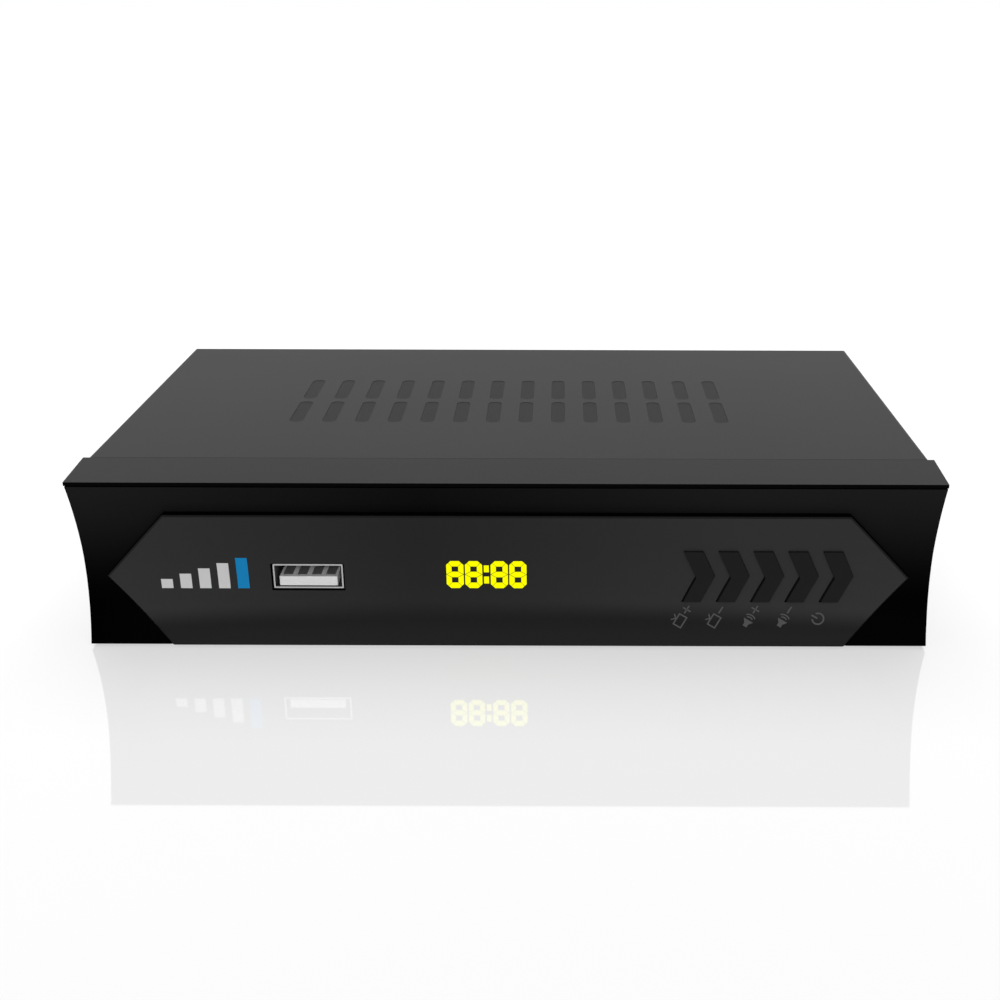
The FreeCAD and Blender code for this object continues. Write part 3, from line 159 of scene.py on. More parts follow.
def grain_group():
    """Fine even grain over a surface: a height, and a roughness that wanders a little round its middle value."""
    group, given, out = new_group(
        "fine_grain", [("Scale", 900.0), ("Roughness", 0.4), ("Wander", 0.04)], ["Height", "Roughness"])
    place = group.nodes.new("ShaderNodeTexCoord")
    fine = group.nodes.new("ShaderNodeTexNoise")
    fine.inputs["Detail"].default_value = 3.0
    broad = group.nodes.new("ShaderNodeTexNoise")
    broad.inputs["Scale"].default_value = 18.0
    broad.inputs["Detail"].default_value = 4.0
    around = group.nodes.new("ShaderNodeMapRange")
    around.inputs["From Min"].default_value = 0.3
    around.inputs["From Max"].default_value = 0.7
    low = new_math(group, "SUBTRACT")
    high = new_math(group, "ADD")
    group.links.new(place.outputs["Object"], fine.inputs["Vector"])
    group.links.new(place.outputs["Object"], broad.inputs["Vector"])
    group.links.new(given.outputs["Scale"], fine.inputs["Scale"])
    for end in (low, high):
        group.links.new(given.outputs["Roughness"], end.inputs[0])
        group.links.new(given.outputs["Wander"], end.inputs[1])
    group.links.new(low.outputs[0], around.inputs["To Min"])
    group.links.new(high.outputs[0], around.inputs["To Max"])
    group.links.new(broad.outputs["Fac"], around.inputs["Value"])
    group.links.new(fine.outputs["Fac"], out.inputs["Height"])
    group.links.new(around.outputs["Result"], out.inputs["Roughness"])
    return group


def painted_shade_group():
    """A mask for painted shade on the front, which darkens a colour low down and towards the middle. It rises between
    two heights, which drop towards the ends of the front by the sag. It rises from 0 to 1 at the ends and to less in
    the middle."""
    group, given, out = new_group(
        "front_painted_shade", [("Low", 0.0), ("High", 0.036), ("Sag", 0.0), ("Middle", 1.0)], ["Mask"])
    place = group.nodes.new("ShaderNodeTexCoord")
    split = group.nodes.new("ShaderNodeSeparateXYZ")
    square = new_math(group, "POWER")
    square.inputs[1].default_value = 2.0
    lift = new_math(group, "MULTIPLY_ADD")
    rise = group.nodes.new("ShaderNodeMapRange")
    rise.interpolation_type = "SMOOTHSTEP"
    group.links.new(place.outputs["Object"], split.inputs["Vector"])
    group.links.new(split.outputs["X"], square.inputs[0])
    group.links.new(square.outputs[0], lift.inputs[0])
    group.links.new(given.outputs["Sag"], lift.inputs[1])
    group.links.new(split.outputs["Z"], lift.inputs[2])
    group.links.new(lift.outputs[0], rise.inputs["Value"])
    group.links.new(given.outputs["Low"], rise.inputs["From Min"])
    group.links.new(given.outputs["High"], rise.inputs["From Max"])
    aside = new_math(group, "ADD")
    aside.inputs[1].default_value = PAINTED_SHADE_ASIDE
    away = new_math(group, "ABSOLUTE")
    spread = group.nodes.new("ShaderNodeMapRange")
    spread.inputs["From Max"].default_value = PAINTED_SHADE_REACH
    product = new_math(group, "MULTIPLY")
    group.links.new(split.outputs["X"], aside.inputs[0])
    group.links.new(aside.outputs[0], away.inputs[0])
    group.links.new(away.outputs[0], spread.inputs["Value"])
    group.links.new(given.outputs["Middle"], spread.inputs["To Min"])
    group.links.new(rise.outputs["Result"], product.inputs[0])
    group.links.new(spread.outputs["Result"], product.inputs[1])
    group.links.new(product.outputs[0], out.inputs["Mask"])
    return group


GRAIN = grain_group()
PAINTED_SHADE = painted_shade_group()
FINISHES = {}


def grey(level):
    return (level, level, level)


def finish(name, colour, roughness, metallic=0.0, specular=0.5, grain=900.0, wander=0.04, bump=0.02, glow=None):
    """A material with its colour set on the shader and the fine grain in its gloss and relief."""
    material = bpy.data.materials.new(name)
    material.use_nodes = True
    tree = material.node_tree
    shader = tree.nodes["Principled BSDF"]
    shader.inputs["Base Color"].default_value = (*colour, 1.0)
    shader.inputs["Metallic"].default_value = metallic
    shader.inputs["Specular IOR Level"].default_value = specular
    if glow:
        shader.inputs["Emission Color"].default_value = (*glow, 1.0)
        shader.inputs["Emission Strength"].default_value = 1.0
    fine = tree.nodes.new("ShaderNodeGroup")
    fine.node_tree = GRAIN
    fine.inputs["Scale"].default_value = grain
    fine.inputs["Roughness"].default_value = roughness
    fine.inputs["Wander"].default_value = wander
    relief = tree.nodes.new("ShaderNodeBump")
    relief.inputs["Strength"].default_value = bump
    relief.inputs["Distance"].default_value = 0.0002
    tree.links.new(fine.outputs["Roughness"], shader.inputs["Roughness"])
    tree.links.new(fine.outputs["Height"], relief.inputs["Height"])
    tree.links.new(relief.outputs["Normal"], shader.inputs["Normal"])
    FINISHES[name] = material


def paint_shade_by_height(name, foot, low, high, sag=0.0, middle=1.0):
    """Paints shade into a material's colour: it changes from the darker foot colour, below low, to its own, above
    high.
    """
    tree = FINISHES[name].node_tree
    shader = tree.nodes["Principled BSDF"]
    shade_mask = tree.nodes.new("ShaderNodeGroup")
    shade_mask.node_tree = PAINTED_SHADE
    shade_mask.inputs["Low"].default_value = low
    shade_mask.inputs["High"].default_value = high
    shade_mask.inputs["Sag"].default_value = sag
    shade_mask.inputs["Middle"].default_value = middle
    mix = tree.nodes.new("ShaderNodeMix")
    mix.data_type = "RGBA"
    mix.inputs[6].default_value = (*foot, 1.0)
    mix.inputs[7].default_value = shader.inputs["Base Color"].default_value
    tree.links.new(shade_mask.outputs["Mask"], mix.inputs[0])
    tree.links.new(mix.outputs[2], shader.inputs["Base Color"])


finish("cover_paint", grey(0.034), 0.42, specular=0.033, grain=2600.0, wander=0.015, bump=0.12)
finish("lip_paint", grey(0.029), 0.42, specular=0.029, grain=2600.0, wander=0.015, bump=0.12)
finish("panel_paint", (0.03, 0.03, 0.031), 0.45, grain=2600.0, bump=0.12)
finish("foot_rubber", grey(0.02), 0.8)
finish("gloss_black", grey(0.0162), 0.14, specular=0.004, wander=0.02, bump=0.0)
# Painted shade: the cove's colour darkens to near black towards its foot and towards its middle.
paint_shade_by_height("gloss_black", grey(0.0001), 0.008, 0.038, middle=0.38)
# Painted shade: a matt black for walls and a groove that lie in shade.
finish("painted_shade_black", grey(0.003), 0.5, specular=0.0)
finish("facia_grey", grey(0.0372), 0.2, specular=0.04, wander=0.03, bump=0.01)
# Painted reflection and painted shade: the facia is darker below a line that drops towards its ends, and darker
# towards its middle.
paint_shade_by_height("facia_grey", grey(0.0106), 0.0058, 0.0107, sag=0.45, middle=0.42)
# Painted shade: a darker grey for the slope round the facia's face.
finish("painted_shade_rim", grey(0.0125), 0.3, specular=0.04)
finish("button_black", grey(0.0165), 0.5, specular=0.02)
finish("switch_black", grey(0.02), 0.5)
finish("plunger_white", (0.75, 0.74, 0.7), 0.5)
finish("display_yellow", (0.3, 0.3, 0.0), 0.5, specular=0.0, glow=(0.82, 0.82, 0.0))
finish("board_green", (0.02, 0.13, 0.05), 0.4)
finish("bright_steel", grey(0.31), 0.35, metallic=1.0)
finish("nickel", (0.75, 0.74, 0.7), 0.18, metallic=1.0)
finish("tongue_white", grey(0.87), 0.45)
finish("contact_grey", grey(0.16), 0.35)
finish("tongue_black", grey(0.02), 0.4)
finish("insert_yellow", (0.85, 0.6, 0.02), 0.4)
finish("insert_red", (0.6, 0.02, 0.02), 0.4)
finish("screen_grey", grey(0.0235), 0.42, specular=0.0225, grain=5200.0, wander=0.015, bump=0.2)
finish("sink_aluminium", (0.6, 0.6, 0.62), 0.35, metallic=1.0)
finish("can_sleeve", (0.02, 0.03, 0.06), 0.35)
finish("coil_dark", grey(0.04), 0.6)
finish("standoff_steel", grey(0.55), 0.3, metallic=1.0)
finish("screw_black", grey(0.03), 0.3, metallic=0.6)
finish("sign_grey", grey(0.1), 0.5, specular=0.05)
finish("mark_white", grey(0.72), 0.5, specular=0.2)
finish("mark_blue", (0.0, 0.25, 0.58), 0.5, specular=0.2)


# pieces

def shade(mesh, angle):
    """Smooth faces, with edges that turn more than the angle left crisp."""
    bm = bmesh.new()
    bm.from_mesh(mesh)
    for face in bm.faces:
        face.smooth = True
    for edge in bm.edges:
        edge.smooth = edge.is_manifold and edge.calc_face_angle() < angle
    bm.to_mesh(mesh)
    bm.free()


def put(name, bm, body, slots, replaced=(), angle=SMOOTH_TURN):
    """The bmesh, drawn in millimetres, as a piece of the object that rides on a body."""
    bmesh.ops.transform(bm, matrix=Matrix.Translation((0, FRONT, 0)) @ Matrix.Scale(MM, 4), verts=bm.verts)
    mesh = bpy.data.meshes.new(name)
    bm.to_mesh(mesh)
    bm.free()
    shade(mesh, angle)
    for slot in slots:
        mesh.materials.append(FINISHES[slot])
    piece = bpy.data.objects.new(name, mesh)
    bpy.context.scene.collection.objects.link(piece)
    even = piece.modifiers.new("even_normals", "WEIGHTED_NORMAL")
    even.keep_sharp = True
    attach(piece, body)
    if replaced:
        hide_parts(*replaced)


def finish_as(node, bm, slots=None, angle=SMOOTH_TURN):
    """The bmesh in the place of a solid, on its body and in its slot."""
    put(node + "_finished", bm, frame["nodes"][node]["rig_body"], slots or [SLOT_OF[node]], [node], angle)


def copy_of(node):
    """A solid's mesh in millimetres, its doubles merged and its flats whole."""
    bm = bmesh.new()
    bm.from_mesh(frame["nodes"][node].data)
    bmesh.ops.transform(bm, matrix=Matrix.Scale(1 / MM, 4) @ Matrix.Translation((0, -FRONT, 0)), verts=bm.verts)
    bmesh.ops.remove_doubles(bm, verts=bm.verts, dist=MERGE_REACH)
    bmesh.ops.dissolve_limit(bm, angle_limit=FLAT_TURN, verts=bm.verts, edges=bm.edges)
    return bm


def box_of(node):
    """A solid's lowest and highest corner in millimetres."""
    return [Vector(corner) / MM - Vector((0, FRONT / MM, 0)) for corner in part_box(node)]


def midpoint(edge):
    return (edge.verts[0].co + edge.verts[1].co) / 2


def climb(edge):
    return abs(edge.verts[0].co.z - edge.verts[1].co.z)


def verts_of(made):
    return [item for item in made if isinstance(item, bmesh.types.BMVert)]


def bevel(bm, edges, width, segments):
    bmesh.ops.bevel(bm, geom=edges, offset=width, offset_type="OFFSET", affect="EDGES", segments=segments,
                    profile=0.5, material=-1, clamp_overlap=True)


def round_edges(bm, width, segments=2, where=lambda spot: True):
    """Rounds every crisp edge whose middle is at a place that where allows."""
    crisp = [edge for edge in bm.edges
             if edge.is_manifold and edge.calc_face_angle() > CRISP_TURN and where(midpoint(edge))]
    bevel(bm, crisp, width, segments)


def soften(node, width, segments=2):
    """A solid with its crisp edges rounded."""
    bm = copy_of(node)
    round_edges(bm, width, segments)
    finish_as(node, bm)


def slab(bm, corners, low, high, axis="z"):
    """A flat outline, drawn in the other two directions, given its thickness from low to high along x or z."""
    place = {"x": lambda u, v: (low, u, v), "z": lambda u, v: (u, v, low)}[axis]
    face = bm.faces.new([bm.verts.new(place(u, v)) for u, v in corners])
    made = bmesh.ops.extrude_face_region(bm, geom=[face], use_keep_orig=True)["geom"]
    along = Vector([high - low if name == axis else 0.0 for name in "xyz"])
    bmesh.ops.translate(bm, verts=verts_of(made), vec=along)


def box_corners(left, low, right, high):
    return [(left, low), (right, low), (right, high), (left, high)]


def lathe(bm, profile, centre):
    """Turns a closed outline of (radius, along) points about a line through centre that runs from front to back."""
    across, up = centre
    verts = [bm.verts.new((across + radius, along, up)) for radius, along in profile]
    edges = [bm.edges.new(pair) for pair in zip(verts, verts[1:] + verts[:1])]
    bmesh.ops.spin(bm, geom=verts + edges, cent=(across, 0, up), axis=(0, 1, 0), dvec=(0, 0, 0),
                   angle=2 * math.pi, steps=ROUND_STEPS, use_merge=True, use_duplicate=False)
    bmesh.ops.remove_doubles(bm, verts=bm.verts, dist=MERGE_REACH)
    bmesh.ops.recalc_face_normals(bm, faces=bm.faces)


for node, piece in frame["nodes"].items():
    piece.data.materials.clear()
    piece.data.materials.append(FINISHES[SLOT_OF[node]])


# steel case

REAR_SCREWS, SIDE_SCREWS = box_of("rear_cover_screws"), box_of("side_cover_screws")


def near_screw(spot):
    """Whether a place is under the head of one of the cover's screws."""
    low, high = REAR_SCREWS
    rear = spot.y > COVER_BACK and abs(spot.x) > high.x - SCREW_HEAD and low.z < spot.z < high.z
    low, high = SIDE_SCREWS
    return rear or (abs(spot.x) > COVER_SIDE and low.y < spot.y < high.y and low.z < spot.z < high.z)


def make_cover():
    """The folded cover, with the upright corners of its slots rounded."""
    bm = copy_of("top_cover")
    upright = [edge for edge in bm.edges if edge.is_manifold and abs(midpoint(edge).x) < VENT_FIELD_SIDE
               and VENT_FIELD_FRONT < midpoint(edge).y < VENT_FIELD_BACK and climb(edge) > COVER_UPRIGHT]
    bevel(bm, upright, VENT_CORNER, 3)
    round_edges(bm, FINE_EDGE, where=lambda spot: spot.y > COVER_FRONT and not near_screw(spot))
    finish_as("top_cover", bm)


def make_screen():
    """The mesh sheet under the slots, pressed up into each of them."""
    bm = copy_of("dust_screen")
    top = max(vert.co.z for vert in bm.verts)
    half, reach = VENT_WIDTH / 2 - MESH_PLAY, VENT_LENGTH / 2 - MESH_PLAY
    for across, along in VENTS:
        corners = box_corners(across - half, along - reach, across + half, along + reach)
        slab(bm, corners, top - MESH_ROOT, CASE_TOP - MESH_DROP)
    upright = [edge for edge in bm.edges
               if edge.is_manifold and midpoint(edge).z > top and climb(edge) > MESH_UPRIGHT]
    bevel(bm, upright, MESH_CORNER, 4)
    bmesh.ops.recalc_face_normals(bm, faces=bm.faces)
    finish_as("dust_screen", bm)


# front

def make_moulding():
    """The moulding, its flanks drawn in below the lip, which has satin paint on top and painted shade in black on its
    front edge and the groove under it.
    """
    bm = copy_of("front_moulding")
    for vert in bm.verts:
        flare = abs(vert.co.x) - FLANK
        drop = min(1.0, (LIP_FOOT - vert.co.z) / FLANK_DRAFT)
        if flare > 0 and drop > 0:
            vert.co.x -= math.copysign(flare * drop, vert.co.x)
    low, high = LIP_CRISP
    round_edges(bm, FINE_EDGE, where=lambda spot: (spot.y < MOULDING_SOFT_BACK or spot.z < MOULDING_SOFT_FOOT)
                and not low < spot.z < high)
    for face in bm.faces:
        spot = face.calc_center_median()
        if face.normal.z > 0.9 and spot.z > CASE_TOP - LIP_TOP_DEPTH:
            face.material_index = 1
        # Painted shade: the lip's front face and the groove under the lip are painted black.
        elif (LIP_FOOT - LIP_FOOT_PLAY < spot.z and spot.y < LIP_FACE
              and (face.normal.y < -0.9 or spot.z < LIP_BAND_TOP)):
            face.material_index = 2
    finish_as("front_moulding", bm, ["gloss_black", "lip_paint", "painted_shade_black"])


def make_facia():
    """The facia, with painted shade in black on its side walls and painted shade on the slope round its face. Its
    windows keep crisp edges.
    """
    bm = copy_of("facia_plate")
    steep, gentle = FACIA_SLOPE_TURN
    for face in bm.faces:
        # Painted shade: the side walls, also those of the windows, are painted black.
        if abs(face.normal.y) < FACIA_SIDE_TURN:
            face.material_index = 1
        # Painted shade: the slope round the face is painted darker than the face.
        elif steep < face.normal.y < gentle:
            face.material_index = 2
    left, right = WINDOWS_ACROSS
    low, high = WINDOWS_UP
    round_edges(bm, FACIA_EDGE, where=lambda spot: not (left < spot.x < right and low < spot.z < high))
    finish_as("facia_plate", bm, ["facia_grey", "painted_shade_black", "painted_shade_rim"])


def cap_fit(wall):
    """How far a cap's side wall, given by its outward direction, stands beyond its drawn place in the hole."""
    if wall.z > 0.9:
        return CAP_REST_FIT
    if wall.x < 0:
        return CAP_REST_FIT if wall.z < -0.1 else CAP_LOOSE_FIT
    return CAP_FAR_FIT if wall.z > 0.1 else 0.0


def make_button(key):
    """A cap that rests to the upper left in its hole, as a loose cap does."""
    bm = copy_of(key + "_button")
    moves = []
    for vert in bm.verts:
        walls = []
        for face in vert.link_faces:
            side = abs(face.normal.y) < 0.1 and face.calc_center_median().y < COLLAR_FRONT - COLLAR_PLAY
            if side and not any(face.normal.dot(wall) > ALIKE for wall in walls):
                walls.append(face.normal.copy())
        if len(walls) == 1:
            moves.append((vert, walls[0] * cap_fit(walls[0])))
        elif len(walls) == 2:
            one, two = walls
            turn = one.x * two.z - one.z * two.x
            first, second = cap_fit(one), cap_fit(two)
            moves.append((vert, Vector((first * two.z - second * one.z, 0, second * one.x - first * two.x)) / turn))
    for vert, move in moves:
        vert.co += Vector((move.x, 0, move.z))
    round_edges(bm, BUTTON_EDGE)
    finish_as(key + "_button", bm)


def make_tongue():
    """The socket's tongue, with a lip in front of its contacts."""
    bm = copy_of("usb_tongue")
    blade = [vert.co for vert in bm.verts if vert.co.y < BLADE_BACK]
    low = [min(spot[axis] for spot in blade) - TONGUE_PROUD for axis in range(3)]
    high = [max(spot[axis] for spot in blade) + TONGUE_PROUD for axis in range(3)]
    slab(bm, box_corners(low[1], low[2], low[1] + TONGUE_LIP, high[2]), low[0], high[0], axis="x")
    bmesh.ops.recalc_face_normals(bm, faces=bm.faces)
    finish_as("usb_tongue", bm)


def make_contacts():
    """The socket's contacts, which end a little behind the tongue's edge."""
    bm = copy_of("usb_contacts")
    start = min(vert.co.y for vert in bm.verts)
    front = [vert for vert in bm.verts if vert.co.y < start + CONTACT_FRONT]
    bmesh.ops.translate(bm, verts=front, vec=(0, TONGUE_LIP, 0))
    finish_as("usb_contacts", bm)


def make_shell():
    """The socket's shell, with its walls a little thinner outside."""
    bm = copy_of("usb_shell")
    low = [min(vert.co[axis] for vert in bm.verts) for axis in range(3)]
    high = [max(vert.co[axis] for vert in bm.verts) for axis in range(3)]
    for vert in bm.verts:
        for axis in (0, 2):
            if vert.co[axis] < low[axis] + SHELL_WALL:
                vert.co[axis] += SHELL_TRIM
            elif vert.co[axis] > high[axis] - SHELL_WALL:
                vert.co[axis] -= SHELL_TRIM
    round_edges(bm, FINE_EDGE)
    finish_as("usb_shell", bm)


# signs laid on the facia

def fill(bm, corners):
    bm.faces.new([bm.verts.new((across, 0, up)) for across, up in corners])


def stroke(bm, start, end, width):
    """A flat line of the given width from start to end, with half its width added at both ends."""
    start, end = Vector(start), Vector(end)
    ahead = (end - start).normalized()
    side = Vector((-ahead.y, ahead.x)) * width / 2
    back = ahead * width / 2
    fill(bm, [start - back - side, end + back - side, end + back + side, start - back + side])


def ring(bm, centre, radius, start, turn, width, steps):
    """Part of a flat ring about the centre, from the start angle on through the turn, in degrees."""
    angle = math.radians(start)
    arm = Vector((math.cos(angle), math.sin(angle)))
    ends = [bm.verts.new((centre[0] + arm.x * r, 0, centre[1] + arm.y * r))
            for r in (radius - width / 2, radius + width / 2)]
    edge = bm.edges.new(ends)
    bmesh.ops.spin(bm, geom=ends + [edge], cent=(centre[0], 0, centre[1]), axis=(0, -1, 0), dvec=(0, 0, 0),
                   angle=math.radians(turn), steps=steps, use_merge=False, use_duplicate=False)


def minus(bm, left, half):
    stroke(bm, (left, 0), (left + 2 * half, 0), TAIL_WIDTH)


def plus(bm, left, half):
    minus(bm, left, half)
    stroke(bm, (left + half, -half), (left + half, half), TAIL_WIDTH)


def screen_sign(bm):
    """A small television: a frame with two aerial rods."""
    for low, high in ((-1.05, -0.78), (0.63, 0.9)):
        fill(bm, box_corners(0.0, low, 2.7, high))
    for left in (0.0, 2.43):
        fill(bm, box_corners(left, -0.78, left + 0.27, 0.63))
    stroke(bm, (1.25, 1.05), (0.75, 1.55), 0.24)
    stroke(bm, (1.45, 1.05), (1.95, 1.55), 0.24)


def speaker_sign(bm):
    """A small loudspeaker with two sound waves."""
    fill(bm, box_corners(0.0, -0.45, 0.65, 0.45))
    fill(bm, [(0.65, -0.45), (1.5, -1.1), (1.5, 1.1), (0.65, 0.45)])
    ring(bm, (1.2, 0.0), 0.95, -40, 80, 0.25, 8)
    ring(bm, (1.2, 0.0), 1.5, -42, 84, 0.25, 12)


def power_sign(bm):
    """An open ring with a short bar in its gap."""
    ring(bm, (1.9, 0.0), 1.15, 125, 290, 0.32, 32)
    stroke(bm, (1.9, 0.3), (1.9, 1.35), 0.32)


def face_y(rise):
    """How far back the facia's hollow face lies at a height."""
    return FACE_AXIS[0] + math.sqrt(FACE_RADIUS ** 2 - (rise - FACE_AXIS[1]) ** 2)


def lay_on_face(name, bm, matrix, slot):
    """Places a flat sign by the matrix, cuts it into narrow strips and lays it along the facia's hollow face."""
    bmesh.ops.transform(bm, matrix=matrix, verts=bm.verts)
    heights = [vert.co.z for vert in bm.verts]
    level = min(heights) + SIGN_STRIP
    while level < max(heights):
        bmesh.ops.bisect_plane(bm, geom=bm.verts[:] + bm.edges[:] + bm.faces[:], plane_co=(0, 0, level),
                               plane_no=(0, 0, 1))
        level += SIGN_STRIP
    for vert in bm.verts:
        vert.co.y = face_y(vert.co.z) - SIGN_PROUD
    made = bmesh.ops.extrude_face_region(bm, geom=bm.faces[:], use_keep_orig=True)["geom"]
    bmesh.ops.translate(bm, verts=verts_of(made), vec=(0, 2 * SIGN_PROUD, 0))
    bmesh.ops.recalc_face_normals(bm, faces=bm.faces)
    put(name, bm, "receiver", [slot])


def add_signs():
    """A slanting sign under each button, with a plus or a minus for the channels and the volume."""
    signs = (("channel_up_sign", screen_sign, plus, 3.3, 0.75), ("channel_down_sign", screen_sign, minus, 3.3, 0.65),
             ("volume_up_sign", speaker_sign, plus, 3.35, 0.75), ("volume_down_sign", speaker_sign, minus, 3.35, 0.65),
             ("power_sign", power_sign, None, 0, 0))
    tilt = Matrix.Rotation(SIGN_TILT, 4, "Y")
    for number, (name, draw, tail, start, half) in enumerate(signs):
        bm = bmesh.new()
        draw(bm)
        if tail:
            tail(bm, start, half)
        spot = Matrix.Translation((SIGN_LEFT + BUTTON_PITCH * number, 0, SIGN_UP))
        lay_on_face(name, bm, spot @ tilt, "sign_grey")


def add_mark():
    """Five rising bars, the last one blue."""
    for name, slot, bars in (("rising_bars", "mark_white", range(4)), ("last_bar", "mark_blue", range(4, 5))):
        bm = bmesh.new()
        for bar in bars:
            left, high = BAR_LEFT + BAR_PITCH * bar, BAR_FIRST_TOP + BAR_STEP * bar
            fill(bm, box_corners(left, BAR_FOOT, left + BAR_WIDTH, high))
        lay_on_face(name, bm, Matrix.Identity(4), slot)


# sockets and screws at the rear

def make_barrel(node, across):
    """A threaded socket, with crests from the nut to the tip."""
    low, high = box_of(node)
    profile = [(BARREL_NECK, BARREL_BACK), (BARREL_NECK, THREAD_START - THREAD_GAP)]
    along = THREAD_START
    while along < THREAD_END:
        profile += [(THREAD_ROOT, along), (THREAD_CREST, along + THREAD_RISE), (THREAD_CREST, along + THREAD_TURN),
                    (THREAD_ROOT, along + THREAD_FALL)]
        along += THREAD_PITCH
    edge = BARREL_TIP - BARREL_CHAMFER
    profile += [(THREAD_ROOT, edge), (BARREL_TAPER, BARREL_TIP), (BARREL_BORE + BARREL_CHAMFER, BARREL_TIP),
                (BARREL_BORE, edge), (BARREL_BORE, BARREL_FLOOR), (0.0, BARREL_FLOOR), (0.0, BARREL_BACK)]
    bm = bmesh.new()
    lathe(bm, profile, (across, (low.z + high.z) / 2))
    finish_as(node, bm, angle=BARREL_SMOOTH_TURN)


def nearest_disc(bm, out, spot):
    """The many-sided face that looks out and lies nearest to a spot."""
    discs = [face for face in bm.faces if len(face.verts) > HEAD_SIDES and face.normal.dot(out) > ALIKE]
    return min(discs, key=lambda face: (face.calc_center_median() - spot).length)


def cut_cross(bm, disc, out):
    """Sinks a cross, narrower at its foot, into a flat round face."""
    centre = disc.calc_center_bounds()
    across = out.orthogonal().normalized()
    up = out.cross(across)
    arm, half = CROSS_ARM, CROSS_HALF
    corners = [(arm, -half), (arm, half), (half, half), (half, arm), (-half, arm), (-half, half),
               (-arm, half), (-arm, -half), (-half, -half), (-half, -arm), (half, -arm), (half, -half)]
    ring_edges = list(disc.edges)
    bm.faces.remove(disc)
    verts = [bm.verts.new(centre + across * u + up * v) for u, v in corners]
    cross_edges = [bm.edges.new(pair) for pair in zip(verts, verts[1:] + verts[:1])]
    bmesh.ops.triangle_fill(bm, use_beauty=True, use_dissolve=False, edges=ring_edges + cross_edges, normal=out)
    sunk = bmesh.ops.extrude_edge_only(bm, edges=cross_edges)["geom"]
    foot = verts_of(sunk)
    bmesh.ops.translate(bm, verts=foot, vec=out * -CROSS_DEPTH)
    bmesh.ops.scale(bm, verts=foot, vec=(CROSS_FOOT, CROSS_FOOT, CROSS_FOOT),
                    space=Matrix.Translation(-(centre - out * CROSS_DEPTH)))
    bmesh.ops.contextual_create(bm, geom=[item for item in sunk if isinstance(item, bmesh.types.BMEdge)
                                          and all(vert in foot for vert in item.verts)])


def make_screws(node):
    """Domed heads with a cross cut into each."""
    bm = copy_of(node)
    heads = [face for face in bm.faces if face.calc_area() > HEAD_AREA]
    for out, spot in [(head.normal.copy(), head.calc_center_median()) for head in heads]:
        bevel(bm, list(nearest_disc(bm, out, spot).edges), HEAD_DOME, 4)
        cut_cross(bm, nearest_disc(bm, out, spot), out)
    bmesh.ops.recalc_face_normals(bm, faces=bm.faces)
    finish_as(node, bm)


make_cover()
make_screen()
make_moulding()
make_facia()
for key in KEYS:
    make_button(key)
    soften(key + "_switch", 0.08)
soften("chassis_tray", 0.1)
soften("rubber_feet", 0.5, 3)
make_shell()
make_contacts()
make_tongue()
for node, width in (
        ("aerial_nuts", 0.25), ("phono_block", 0.15), ("phono_sleeves", 0.12), ("digital_av_shell", 0.08),
        ("power_jack", 0.15), ("right_sound_insert", 0.12), ("left_sound_insert", 0.12), ("video_insert", 0.12),
        ("aerial_insulators", 0.12), ("smoothing_capacitors", 0.2), ("power_coil", 0.2), ("main_chip", 0.2),
        ("memory_chips", 0.2), ("tuner_can", 0.2)):
    soften(node, width)
for node in ("rear_cover_screws", "side_cover_screws", "board_screws", "front_board_screws"):
    make_screws(node)
make_barrel("aerial_in_barrel", AERIAL_IN)
make_barrel("aerial_out_barrel", AERIAL_OUT)
add_signs()
add_mark()


# floor, light and camera

def look_at(thing, target):
    thing.rotation_euler = (Vector(target) - thing.location).to_track_quat("-Z", "Y").to_euler()


def white_when_seen(tree, low, high):
    """A strength that is high for the camera and in reflections and low for the light that falls on the object."""
    rays = tree.nodes.new("ShaderNodeLightPath")
    seen = new_math(tree, "MAXIMUM")
    clear = new_math(tree, "MAXIMUM")
    level = tree.nodes.new("ShaderNodeMapRange")
    level.inputs["To Min"].default_value = low
    level.inputs["To Max"].default_value = high
    tree.links.new(rays.outputs["Is Camera Ray"], seen.inputs[0])
    tree.links.new(rays.outputs["Is Glossy Ray"], seen.inputs[1])
    tree.links.new(seen.outputs[0], clear.inputs[0])
    tree.links.new(rays.outputs["Is Transmission Ray"], clear.inputs[1])
    tree.links.new(clear.outputs[0], level.inputs["Value"])
    return level.outputs["Result"]


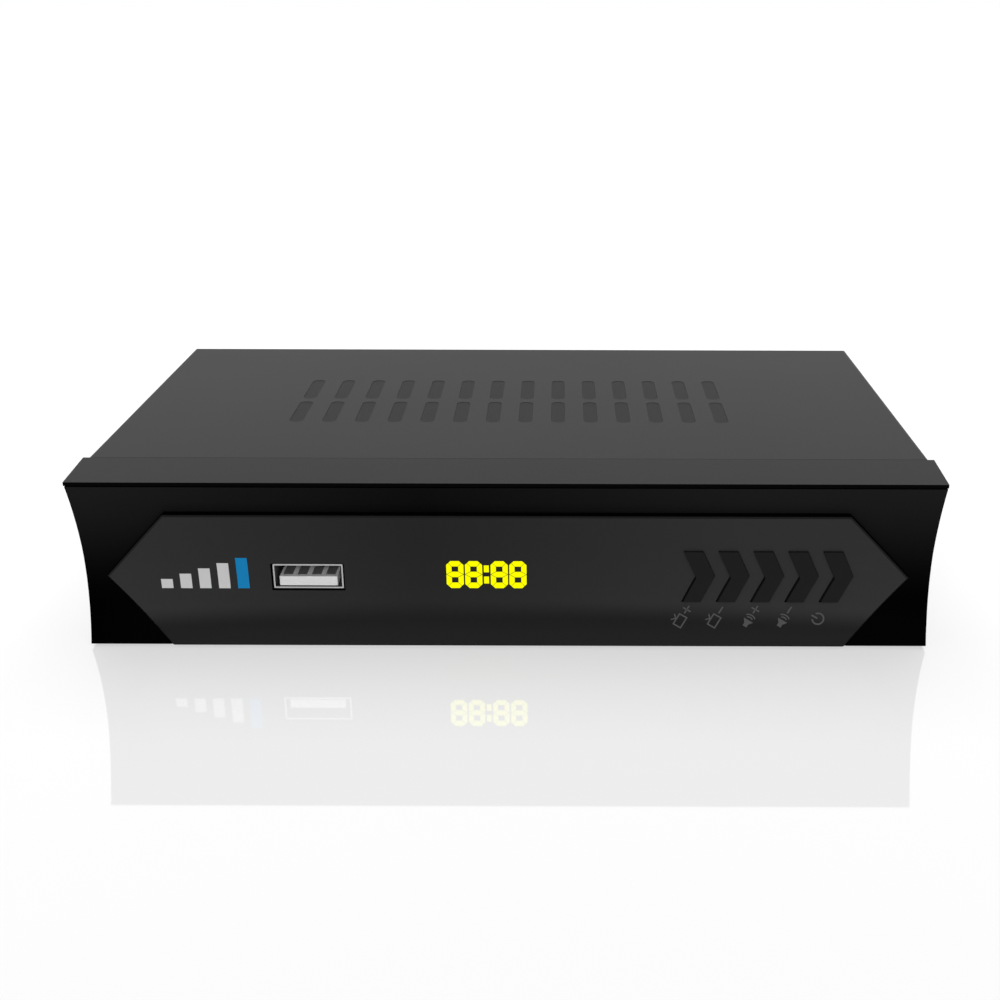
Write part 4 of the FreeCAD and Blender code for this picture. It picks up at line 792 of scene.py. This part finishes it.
def lay_floor():
    """A wide glossy white floor."""
    bm = bmesh.new()
    bmesh.ops.create_grid(bm, x_segments=1, y_segments=1, size=FLOOR_SIZE,
                          matrix=Matrix.Translation((0, 0, -FLOOR_DROP)))
    mesh = bpy.data.meshes.new("floor")
    bm.to_mesh(mesh)
    bm.free()
    floor = bpy.data.objects.new("floor", mesh)
    bpy.context.scene.collection.objects.link(floor)
    material = bpy.data.materials.new("white_floor")
    material.use_nodes = True
    tree = material.node_tree
    shader = tree.nodes["Principled BSDF"]
    shader.inputs["Base Color"].default_value = (*grey(0.27), 1.0)
    shader.inputs["IOR"].default_value = 1.6
    shader.inputs["Roughness"].default_value = 0.03
    shader.inputs["Specular IOR Level"].default_value = 1.0
    shader.inputs["Emission Color"].default_value = (*grey(1.0), 1.0)
    tree.links.new(white_when_seen(tree, 0.0, FLOOR_SEEN), shader.inputs["Emission Strength"])
    mesh.materials.append(material)


def light_room():
    """A dim even room that the camera sees as white, and two large soft lamps, one above and one in front."""
    world = bpy.data.worlds.new("room")
    bpy.context.scene.world = world
    world.use_nodes = True
    tree = world.node_tree
    back = tree.nodes["Background"]
    back.inputs["Color"].default_value = (*grey(1.0), 1.0)
    tree.links.new(white_when_seen(tree, ROOM_LIGHT, ROOM_SEEN), back.inputs["Strength"])
    for name, spot, target, size, power in (
            ("overhead_lamp", (0.0, 0.3, 1.3), (0, 0.1, 0), 1.4, 20.0),
            ("front_lamp", (0.0, -1.2, 0.35), (0, 0, 0.03), 1.0, 7.5)):
        lamp = bpy.data.lights.new(name, "AREA")
        lamp.shape = "SQUARE"
        lamp.size = size
        lamp.energy = power
        thing = bpy.data.objects.new(name, lamp)
        thing.location = spot
        look_at(thing, target)
        bpy.context.scene.collection.objects.link(thing)


def set_camera():
    data = bpy.data.cameras.new("camera")
    data.lens = CAMERA_LENS
    data.shift_x = CAMERA_SHIFT
    data.clip_start = CAMERA_START
    camera = bpy.data.objects.new("camera", data)
    camera.location = CAMERA_SPOT
    camera.rotation_euler = (Matrix.Rotation(CAMERA_TILT, 4, "X") @ Matrix.Rotation(CAMERA_ROLL, 4, "Z")).to_euler()
    bpy.context.scene.collection.objects.link(camera)
    bpy.context.scene.camera = camera
    bpy.context.scene.view_settings.view_transform = "Standard"


lay_floor()
light_room()
set_camera()
